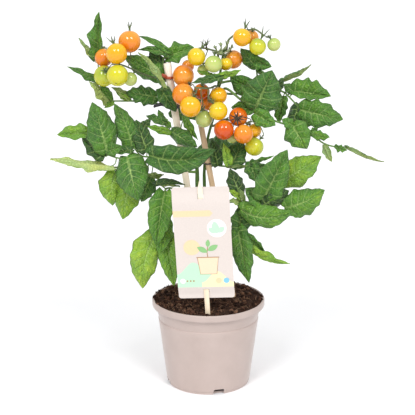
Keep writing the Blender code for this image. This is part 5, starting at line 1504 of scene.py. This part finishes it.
def peat_material():
    made = Nodes("peat", 0.85, Specular_IOR_Level=0.15)
    base = made.ramp(made.value("shade"), PEAT_TONES)
    base = made.mix(made.range(made.noise(900, 5), 0.0, 0.5), base, (0.062, 0.027, 0.016))
    return made.skin(base, made.noise(1300, 5), 0.9, 0.001, (made.noise(500, 2), 0.7, 0.95))


def paper_material(name, colour):
    """Uncoated card or the ink on it, with a faint fibre."""
    made = Nodes(name, 0.6)
    darker = tuple(channel * 0.94 for channel in colour)
    base = made.ramp(made.noise(700, 4), [(0.3, darker), (0.7, colour)])
    return made.skin(base, made.noise(2500, 3), 0.12, 0.0002, (made.noise(900, 3), 0.52, 0.7))


def plastic_material(name, colour, roughness):
    made = Nodes(name, roughness)
    paler = tuple(min(1, channel * 1.3 + 0.01) for channel in colour)
    base = made.ramp(made.noise(500, 3), [(0.35, colour), (0.7, paler)])
    return made.skin(base, made.noise(900, 2), 0.15, 0.0003)


MATERIALS = {
    "pot": pot_material(),
    "peat": peat_material(),
    "pale_wood": wood_material("pale_wood", (0.84, 0.72, 0.54), (0.68, 0.54, 0.37), 0.35, 0.75),
    "tan_wood": wood_material("tan_wood", (0.72, 0.50, 0.30), (0.50, 0.31, 0.16), 0.5, 0.15),
    "card": paper_material("card", (0.672, 0.598, 0.555)),
    "tie_orange": plastic_material("tie_orange", (0.33, 0.055, 0.018), 0.4),
    "tie_black": plastic_material("tie_black", (0.012, 0.012, 0.016), 0.35),
    "leaf": leaf_material(
        "leaf", LEAF_TONES, (0.42, 0.60, 0.17), 0.95, 0.15, (0.85, 0.95, 1.15), (1.12, 1.06, 0.85)
    ),
    "leaf_under": leaf_material(
        "leaf_under", UNDER_TONES, (0.46, 0.54, 0.20), 0.6, 0.12, (0.85, 0.95, 1.1), (1.12, 1.03, 0.9)
    ),
}
for prefix, make, tones in (
    ("", green_stem, GREENS), ("fruit_", fruit_material, FRUIT_TONES), ("ink_", paper_material, INKS),
):
    for key, tone in tones.items():
        MATERIALS[prefix + key] = make(prefix + key, tone)


def stage():
    """The pale floor, the studio light and the camera of the photograph."""
    scene = bpy.context.scene
    shape = bmesh.new()
    bmesh.ops.create_grid(shape, x_segments=1, y_segments=1, size=FLOOR_HALF)
    floor = put("floor", new_mesh("floor", shape))
    floor.data.materials.append(Nodes("floor", 0.7, Base_Color=(0.93, 0.93, 0.94, 1)).material)

    world = bpy.data.worlds.new("studio")
    world.use_nodes = True
    background = world.node_tree.nodes["Background"]
    background.inputs["Color"].default_value = (0.985, 0.99, 1.0, 1)
    background.inputs["Strength"].default_value = WORLD_STRENGTH
    scene.world = world

    rise = math.radians(LAMP_RISE)
    for way in (-1, 1):
        light = bpy.data.lights.new(f"lamp_{way}", "SUN")
        light.angle = math.radians(LAMP_SPREAD)
        light.energy = LAMP_POWER
        lamp = put(light.name, light)
        turn = math.radians(LAMP_AZIMUTH * way)
        away = Vector((math.sin(turn) * math.cos(rise), -math.cos(turn) * math.cos(rise), math.sin(rise)))
        lamp.location = away
        lamp.rotation_euler = away.to_track_quat("Z", "Y").to_euler()

    camera = bpy.data.cameras.new("view")
    camera.sensor_width = SENSOR
    camera.lens = FOCAL_PIXELS * SENSOR / PHOTO_WIDTH
    camera.clip_end = 20
    eye = put("view", camera)
    eye.location = EYE * MM
    eye.rotation_euler = (math.radians(90 - VIEW_TILT), 0, 0)
    scene.camera = eye
    scene.view_settings.view_transform = "Standard"


def main():
    stage()
    pot()
    soil()
    for key in CANES:
        cane(key)
    stems()
    for name, entry in TIES.items():
        tie(name, entry)
    label_card()
    label_prints()
    label_stick()
    for seed, (name, entry) in enumerate(LEAVES.items()):
        leaf(name, entry, seed)
    for seed, (name, entry) in enumerate(TRUSSES.items()):
        truss("truss_" + name, entry, TRUSS_SEED + seed)
        for number, settings in enumerate(entry["parts"], 1):
            fruit_ball(f"fruit_{name}_{number}", settings, FRUIT_SEED + 10 * seed + number)


main()
